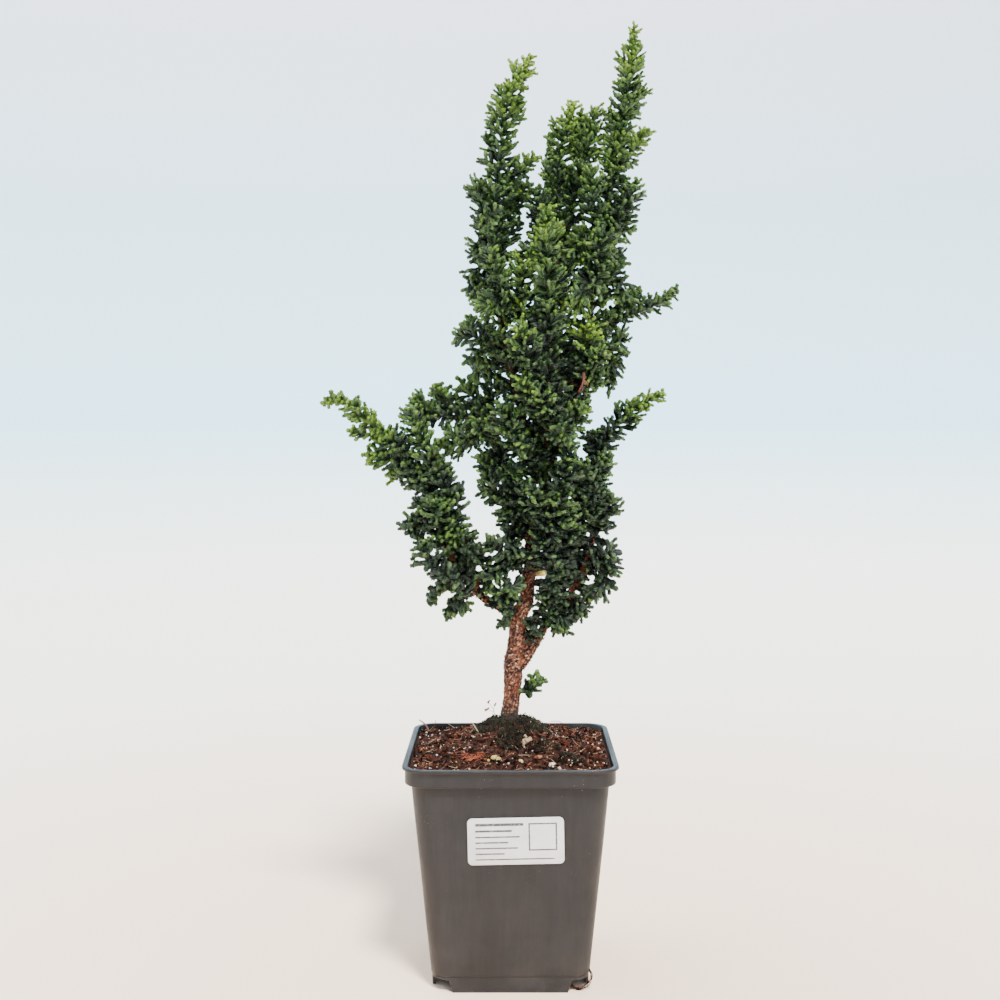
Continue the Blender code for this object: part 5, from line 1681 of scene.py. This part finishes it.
class Look:
    """A material's nodes, with short ways to add and join them."""

    def __init__(self, name, roughness, gloss=0.5):
        self.material = bpy.data.materials.new(name)
        self.material.use_nodes = True
        self.tree = self.material.node_tree
        self.shader = self.tree.nodes["Principled BSDF"]
        self.shader.inputs["Roughness"].default_value = roughness
        self.shader.inputs["Specular IOR Level"].default_value = gloss
        self.place = self.tree.nodes.new("ShaderNodeTexCoord").outputs["Object"]

    def node(self, kind, inputs=(), **settings):
        """A node with its settings, and with each input joined to an output or set to a value."""
        made = self.tree.nodes.new(kind)
        for name, value in settings.items():
            setattr(made, name, value)
        for name, value in dict(inputs).items():
            if isinstance(value, bpy.types.NodeSocket):
                self.tree.links.new(value, made.inputs[name])
            else:
                made.inputs[name].default_value = value
        return made

    def axis(self, letter, vector=None):
        """One part of a vector, or of the place on the object in metres."""
        return self.node("ShaderNodeSeparateXYZ", {"Vector": vector or self.place}).outputs[letter]

    def stretched(self, x, y, z):
        """Places scaled by different amounts along the axes."""
        return self.node("ShaderNodeMapping", {"Vector": self.place, "Scale": (x, y, z)}).outputs["Vector"]

    def noise(self, scale, detail=3.0, roughness=0.6, where=None):
        return self.node("ShaderNodeTexNoise", {
            "Vector": where or self.place, "Scale": scale, "Detail": detail, "Roughness": roughness,
        }).outputs["Fac"]

    def cells(self, scale):
        """Distance from the middle of the nearest cell."""
        return self.node("ShaderNodeTexVoronoi", {"Vector": self.place, "Scale": scale}).outputs["Distance"]

    def value(self, name):
        """The number that the mesh keeps at each point under this name."""
        return self.node("ShaderNodeAttribute", attribute_name=name).outputs["Fac"]

    def maths(self, operation, a, b=0.0):
        return self.node("ShaderNodeMath", {0: a, 1: b}, operation=operation).outputs[0]

    def add(self, a, b):
        return self.maths("ADD", a, b)

    def times(self, a, b):
        return self.maths("MULTIPLY", a, b)

    def off(self, value, middle):
        """How far a length is from a middle given in millimetres."""
        return self.maths("ABSOLUTE", self.maths("SUBTRACT", value, middle * MM))

    def spread(self, value, low, high, to_low=0.0, to_high=1.0):
        """The value's range from low to high, moved to another range and held there."""
        return self.node("ShaderNodeMapRange", {
            "Value": value, "From Min": low, "From Max": high, "To Min": to_low, "To Max": to_high,
        }).outputs["Result"]

    def band(self, low, high, to_low=0.0, to_high=1.0, axis="Z"):
        """The spread of the height, or of another axis, between two lengths in millimetres."""
        return self.spread(self.axis(axis), low * MM, high * MM, to_low, to_high)

    def ramp(self, value, stops):
        """A colour for each value, smooth between the stops."""
        made = self.node("ShaderNodeValToRGB", {"Fac": value})
        elements = made.color_ramp.elements
        while len(elements) < len(stops):
            elements.new(0.5)
        for element, (position, colour) in zip(elements, stops):
            element.position = position
            element.color = (*colour, 1.0)
        return made.outputs["Color"]

    def greys(self, value, stops):
        """A ramp of plain greys."""
        return self.ramp(value, [(position, (grey, grey, grey)) for position, grey in stops])

    def mix(self, share, a, b, blend="MIX"):
        """Colour a turned into colour b, or blended with it, by the share."""
        a, b = [c if isinstance(c, bpy.types.NodeSocket) else (*c, 1.0) for c in (a, b)]
        made = self.node("ShaderNodeMix", {MIX_SHARE: share, MIX_A: a, MIX_B: b},
                         data_type="RGBA", blend_type=blend)
        return made.outputs[MIX_RESULT]

    def bump(self, height, distance, strength=1.0):
        inputs = {"Height": height, "Distance": distance * MM, "Strength": strength}
        return self.node("ShaderNodeBump", inputs).outputs["Normal"]

    def finish(self, colour, normal=None, roughness=None):
        """The material, with what is given joined to its shader."""
        sockets = {"Base Color": colour, "Normal": normal, "Roughness": roughness}
        for name, output in sockets.items():
            if output is not None:
                self.tree.links.new(output, self.shader.inputs[name])
        return self.material


def foliage_look():
    """Scale leaves: deep green when old, yellow-green at the young tips, pale joints below. Each finger and
    spine gets painted shade towards its root, partly for older leaves and partly for the shade deep in the
    fans. A few fingers are painted pale as highlights.
    """
    look = Look("foliage", 0.45, 0.35)
    along, vary = look.value("along"), look.value("vary")
    age = look.add(look.value("young"), look.spread(look.noise(32.0, 2.0), 0.3, 0.7, -0.19, 0.18))
    age = look.add(age, look.spread(vary, 0.0, 1.0, -0.15, 0.15))
    age = look.add(age, look.spread(along, 0.4, 1.0, 0.0, 0.12))
    green = look.ramp(age, [
        (0.0, (0.011, 0.022, 0.01)), (0.2, (0.017, 0.043, 0.01)), (0.48, (0.072, 0.15, 0.014)),
        (0.75, (0.18, 0.31, 0.014)), (1.0, (0.33, 0.48, 0.018)),
    ])
    # Painted shade: darker towards the root of each finger and spine, partly for older leaves and partly for
    # the shade deep inside the fans.
    shade = look.greys(along, [(0.0, 0.2), (0.3, 0.72), (0.9, 1.2)])
    green = look.mix(1.0, green, shade, "MULTIPLY")
    scales = look.cells(950.0)
    joints = look.greys(look.spread(scales, 0.22, 0.7, 1.05, 0.38), [(0.0, 0.0), (1.0, 1.0)])
    green = look.mix(1.0, green, joints, "MULTIPLY")
    facing = look.axis("Z", look.node("ShaderNodeNewGeometry").outputs["Normal"])
    below = look.times(look.spread(facing, -0.2, -0.8), look.spread(look.cells(1500.0), 0.3, 0.6))
    green = look.mix(look.times(below, 0.2), green, (0.2, 0.3, 0.22))
    # Painted highlights: a few fingers, chosen at random, are painted pale away from their roots.
    painted_highlights = look.times(look.spread(vary, 0.86, 0.92, 0.0, 0.3), look.spread(along, 0.2, 0.6))
    green = look.mix(painted_highlights, green, (0.16, 0.24, 0.11))
    brown = look.ramp(look.noise(700.0, 3.0), [
        (0.35, (0.035, 0.016, 0.009)), (0.55, (0.1, 0.05, 0.025)), (0.7, (0.26, 0.15, 0.09)),
    ])
    colour = look.mix(look.value("dead"), green, brown)
    height = look.add(look.spread(scales, 0.0, 0.7, 1.0, 0.0), look.noise(2600.0, 2.0))
    roughness = look.spread(look.noise(500.0), 0.3, 0.7, 0.42, 0.62)
    return look.finish(colour, look.bump(height, 0.3, 0.8), roughness)


def bark_look():
    """Flaky red-brown bark: dark in its cracks, tan on its plates, nearly black at the soil."""
    look = Look("bark", 0.85, 0.2)
    fine = look.noise(1100.0, 4.0)
    tone = look.add(look.value("relief"), look.spread(fine, 0.3, 0.7, -0.34, 0.28))
    brown = look.ramp(tone, [
        (0.1, (0.011, 0.006, 0.005)), (0.4, (0.105, 0.037, 0.023)), (0.7, (0.3, 0.145, 0.087)),
        (1.0, (0.54, 0.35, 0.23)),
    ])
    oranges = look.spread(look.noise(120.0), 0.52, 0.62, 0.0, 0.48)
    colour = look.mix(oranges, brown, (0.22, 0.064, 0.017))
    reds = look.spread(look.noise(330.0, 2.0), 0.56, 0.62, 0.0, 0.7)
    reds = look.times(reds, look.spread(tone, 0.3, 0.6))
    reds = look.times(reds, look.times(look.band(*RED_BARK_FOOT), look.band(*RED_BARK_TOP)))
    colour = look.mix(reds, colour, (0.36, 0.045, 0.04))
    colour = look.mix(look.band(*DAMP_BARK, 0.0, 0.9), colour, (0.02, 0.02, 0.016))
    colour = look.mix(look.band(*SHADED_BARK, 0.0, 0.8), colour, (0.018, 0.011, 0.006))
    rough_height = look.add(fine, look.times(look.cells(900.0), 0.7))
    return look.finish(colour, look.bump(rough_height, 0.35, 0.9))


def stub_look():
    """The dry yellow end of a cut twig."""
    look = Look("cut_wood", 0.7)
    grain = look.noise(600.0, 3.0)
    tone = look.add(look.band(*STUB_PALING, axis="X"), look.spread(grain, 0.3, 0.7, -0.15, 0.15))
    colour = look.ramp(tone, [
        (0.2, (0.12, 0.05, 0.02)), (0.5, (0.42, 0.24, 0.03)), (0.85, (0.8, 0.68, 0.2)),
    ])
    return look.finish(colour, look.bump(grain, 0.3, 0.6))


def pot_look():
    """Dark grey moulded plastic with faint streaks down its walls, scuffs and dust."""
    look = Look("pot_plastic", 0.5, 0.22)
    streaks = look.noise(1.0, 4.0, 0.6, look.stretched(260.0, 260.0, 9.0))
    clouds = look.noise(22.0, 4.0)
    tone = look.add(look.spread(streaks, 0.3, 0.7, -0.5, 0.5), look.spread(clouds, 0.3, 0.7, -0.5, 0.5))
    colour = look.ramp(look.spread(tone, -1.0, 1.0), [
        (0.0, (0.0136, 0.0126, 0.0132)), (1.0, (0.0212, 0.0199, 0.0208)),
    ])
    dust = look.spread(look.cells(420.0), 0.1, 0.04)
    dust = look.times(dust, look.spread(look.noise(60.0), 0.54, 0.6))
    dust = look.times(dust, look.band(*DUSTY_WALL, 0.15, 0.9))
    colour = look.mix(dust, colour, (0.34, 0.26, 0.2))
    film = look.times(look.spread(look.noise(35.0, 5.0), 0.45, 0.75), look.band(*FILM_AT_FOOT, 0.04, 0.16))
    colour = look.mix(film, colour, (0.16, 0.14, 0.125))
    scuffs = look.noise(1.0, 3.0, 0.7, look.stretched(900.0, 900.0, 60.0))
    roughness = look.spread(look.add(scuffs, clouds), 0.7, 1.3, 0.36, 0.6)
    relief = look.add(look.noise(1800.0, 2.0), look.times(scuffs, 0.6))
    return look.finish(colour, look.bump(relief, 0.06, 0.6), roughness)


def label_look():
    """White label stock with plain ruled lines and a plain outlined box."""
    look = Look("label_paper", 0.35)
    x, y = look.axis("X"), look.axis("Y")
    ink = 0.0
    for line_y, end, thick in LABEL_LINES:
        middle, half = (LABEL_MARGIN + end) / 2, (end - LABEL_MARGIN) / 2
        line = look.times(look.maths("LESS_THAN", look.off(y, line_y), thick / 2 * MM),
                          look.maths("LESS_THAN", look.off(x, middle), half * MM))
        ink = look.maths("MAXIMUM", ink, line)
    box_x, box_y, box_half, box_line = LABEL_BOX
    away = look.maths("MAXIMUM", look.off(x, box_x), look.off(y, box_y))
    outline = look.times(look.maths("LESS_THAN", away, box_half * MM),
                         look.maths("GREATER_THAN", away, (box_half - box_line) * MM))
    ink = look.maths("MAXIMUM", ink, outline)
    print_wear = look.spread(look.noise(900.0, 3.0), 0.3, 0.5, 0.75, 1.0)
    paper = look.ramp(look.noise(70.0, 3.0), [(0.3, (0.6, 0.6, 0.59)), (0.7, (0.74, 0.74, 0.73))])
    colour = look.mix(look.times(ink, print_wear), paper, (0.05, 0.05, 0.055))
    return look.finish(colour, look.bump(look.noise(260.0, 3.0), 0.05, 0.5))


def soil_look():
    """Dark peat between the chips."""
    look = Look("peat", 0.95, 0.15)
    crumb = look.noise(420.0, 5.0, 0.7)
    colour = look.ramp(crumb, [
        (0.3, (0.005, 0.003, 0.002)), (0.5, (0.024, 0.01, 0.007)), (0.7, (0.08, 0.03, 0.018)),
    ])
    return look.finish(colour, look.bump(crumb, 0.8))


def chip_look():
    """Bark chips from near black over red-brown to tan."""
    look = Look("bark_chip", 0.9, 0.08)
    fine = look.noise(700.0, 3.0)
    tone = look.add(look.value("vary"), look.spread(fine, 0.3, 0.7, -0.2, 0.2))
    colour = look.ramp(tone, [
        (0.0, (0.003, 0.0015, 0.0015)), (0.45, (0.012, 0.0045, 0.003)), (0.75, (0.054, 0.0145, 0.0068)),
        (0.95, (0.12, 0.034, 0.016)), (1.0, (0.24, 0.11, 0.06)),
    ])
    return look.finish(colour, look.bump(fine, 0.3, 0.8))


def fibre_look():
    """Dry fibres, brown to straw; above 1 the red-brown front tangle and the rust of a dead sprig."""
    look = Look("fibre", 0.8)
    tone = look.spread(look.value("vary"), 0.0, 1.5)
    colour = look.ramp(tone, [
        (0.0, (0.05, 0.014, 0.007)), (0.3, (0.15, 0.046, 0.022)), (0.55, (0.24, 0.1, 0.055)),
        (0.65, (0.48, 0.34, 0.22)), (0.69, (0.48, 0.34, 0.22)), (0.8, (0.26, 0.055, 0.02)),
        (0.93, (0.34, 0.09, 0.035)), (1.0, (0.075, 0.015, 0.004)),
    ])
    return look.finish(colour, look.bump(look.noise(900.0), 0.1, 0.5))


def grain_look():
    """White, yellow and tan mineral grains."""
    look = Look("pale_grain", 0.7)
    tone = look.spread(look.value("vary"), 0.0, 2.0)
    clean = look.ramp(tone, [
        (0.0, (0.72, 0.66, 0.58)), (0.3, (0.62, 0.5, 0.36)), (0.5, (0.5, 0.4, 0.12)),
        (0.75, (0.4, 0.28, 0.15)), (1.0, (0.36, 0.24, 0.14)),
    ])
    pits = look.noise(800.0, 4.0)
    colour = look.mix(look.spread(pits, 0.5, 0.66, 0.0, 0.8), clean, (0.12, 0.06, 0.035))
    return look.finish(colour, look.bump(pits, 0.5, 0.9))


def moss_look():
    """Dark moss, browner where it is dry."""
    look = Look("moss", 0.8, 0.15)
    tone = look.add(look.value("vary"), look.spread(look.value("along"), 0.0, 1.0, -0.15, 0.2))
    green = look.ramp(tone, [
        (0.0, (0.003, 0.004, 0.0025)), (0.45, (0.0095, 0.013, 0.0075)), (0.8, (0.022, 0.028, 0.016)),
        (1.0, (0.06, 0.062, 0.04)),
    ])
    dry = look.spread(look.noise(160.0), 0.54, 0.64, 0.0, 0.45)
    return look.finish(look.mix(dry, green, (0.04, 0.018, 0.013)))


# Floor, light and camera


def make_stage():
    """A plain pale floor that rises far off into a plain pale backdrop."""
    points = [(0.0, 0.0, 0.0)]
    for radius, height in BACKDROP_PROFILE:
        for k in range(BACKDROP_SIDES):
            angle = 2 * math.pi * k / BACKDROP_SIDES
            points.append((radius * math.cos(angle), radius * math.sin(angle), height))
    faces = [(0, 1 + k, 1 + (k + 1) % BACKDROP_SIDES) for k in range(BACKDROP_SIDES)]
    faces += [quad[::-1] for quad in quads_between(len(BACKDROP_PROFILE), BACKDROP_SIDES, first=1)]
    mesh = faced_mesh("backdrop", points, faces)
    look = Look("backdrop", 0.9)
    away = look.node("ShaderNodeVectorMath", {0: look.place}, operation="LENGTH").outputs["Value"]
    tone = look.add(look.spread(away, 0.15, 0.8, 0.0, 0.1), look.band(*BACKDROP_BLEND, 0.0, 0.9))
    pale = look.ramp(tone, [
        (0.0, (1.0, 0.75, 0.57)), (0.1, (1.0, 0.95, 0.84)), (0.3, (0.52, 0.83, 1.0)),
        (0.65, (0.62, 0.84, 1.0)), (1.0, (0.86, 0.89, 1.0)),
    ])
    mesh.materials.append(look.finish(pale))
    new_object("backdrop", mesh)


def add_light(kind, name, where, size, power, colour):
    """A soft light that faces the middle of the plant."""
    light = bpy.data.lights.new(name, kind)
    if kind == "SUN":
        light.angle = math.radians(size)
    else:
        light.size = size * MM
    light.energy = power
    light.color = colour
    made = new_object(name, light)
    made.location = [value * MM for value in where]
    facing = Vector([(aim - value) * MM for aim, value in zip(LIGHT_AIM, where)])
    made.rotation_euler = facing.to_track_quat("-Z", "Y").to_euler()


def make_light():
    """Soft light from above and in front, and a paler fill all round."""
    for row in LIGHTS:
        add_light(*row)
    world = bpy.data.worlds.new("surroundings")
    world.use_nodes = True
    background = world.node_tree.nodes["Background"]
    background.inputs["Color"].default_value = FILL_COLOUR
    background.inputs["Strength"].default_value = FILL_STRENGTH
    bpy.context.scene.world = world


def make_camera():
    """The camera at the photograph's place, level, with the plant a little off its middle."""
    camera = bpy.data.cameras.new("camera")
    camera.sensor_width = CAMERA_SENSOR
    camera.lens = CAMERA_LENS
    camera.shift_x, camera.shift_y = CAMERA_SHIFT
    made = new_object("camera", camera)
    made.location = (0.0, -EYE_DISTANCE * MM, EYE_HEIGHT * MM)
    made.rotation_euler = (math.pi / 2, 0.0, 0.0)
    bpy.context.scene.camera = made


def main():
    """Makes the foliage, the wood, the pot, the soil with what lies on it, and the stage."""
    branches = all_branches()
    stems, twigs = plan_stems(branches, Room())
    green, bark, chip, dry = foliage_look(), bark_look(), chip_look(), fibre_look()
    make_foliage(stems, green)
    make_wood_fans(branches, green)
    make_wood(branches, twigs, bark)
    make_flakes(branches, bark)
    make_stub(stub_look())
    make_pot(pot_look())
    make_label(label_look())
    trunk_middle = point_at(branches["trunk"].curve, MOUND_HEIGHT - TRUNK_FOOT)[0]
    make_soil(trunk_middle, soil_look())
    make_chips(chip)
    make_fibres(dry)
    make_grains(grain_look())
    make_moss(moss_look())
    make_sprouts(dry)
    make_rusty_sprig(dry)
    make_root_wisp(chip)
    make_stage()
    make_light()
    make_camera()


main()
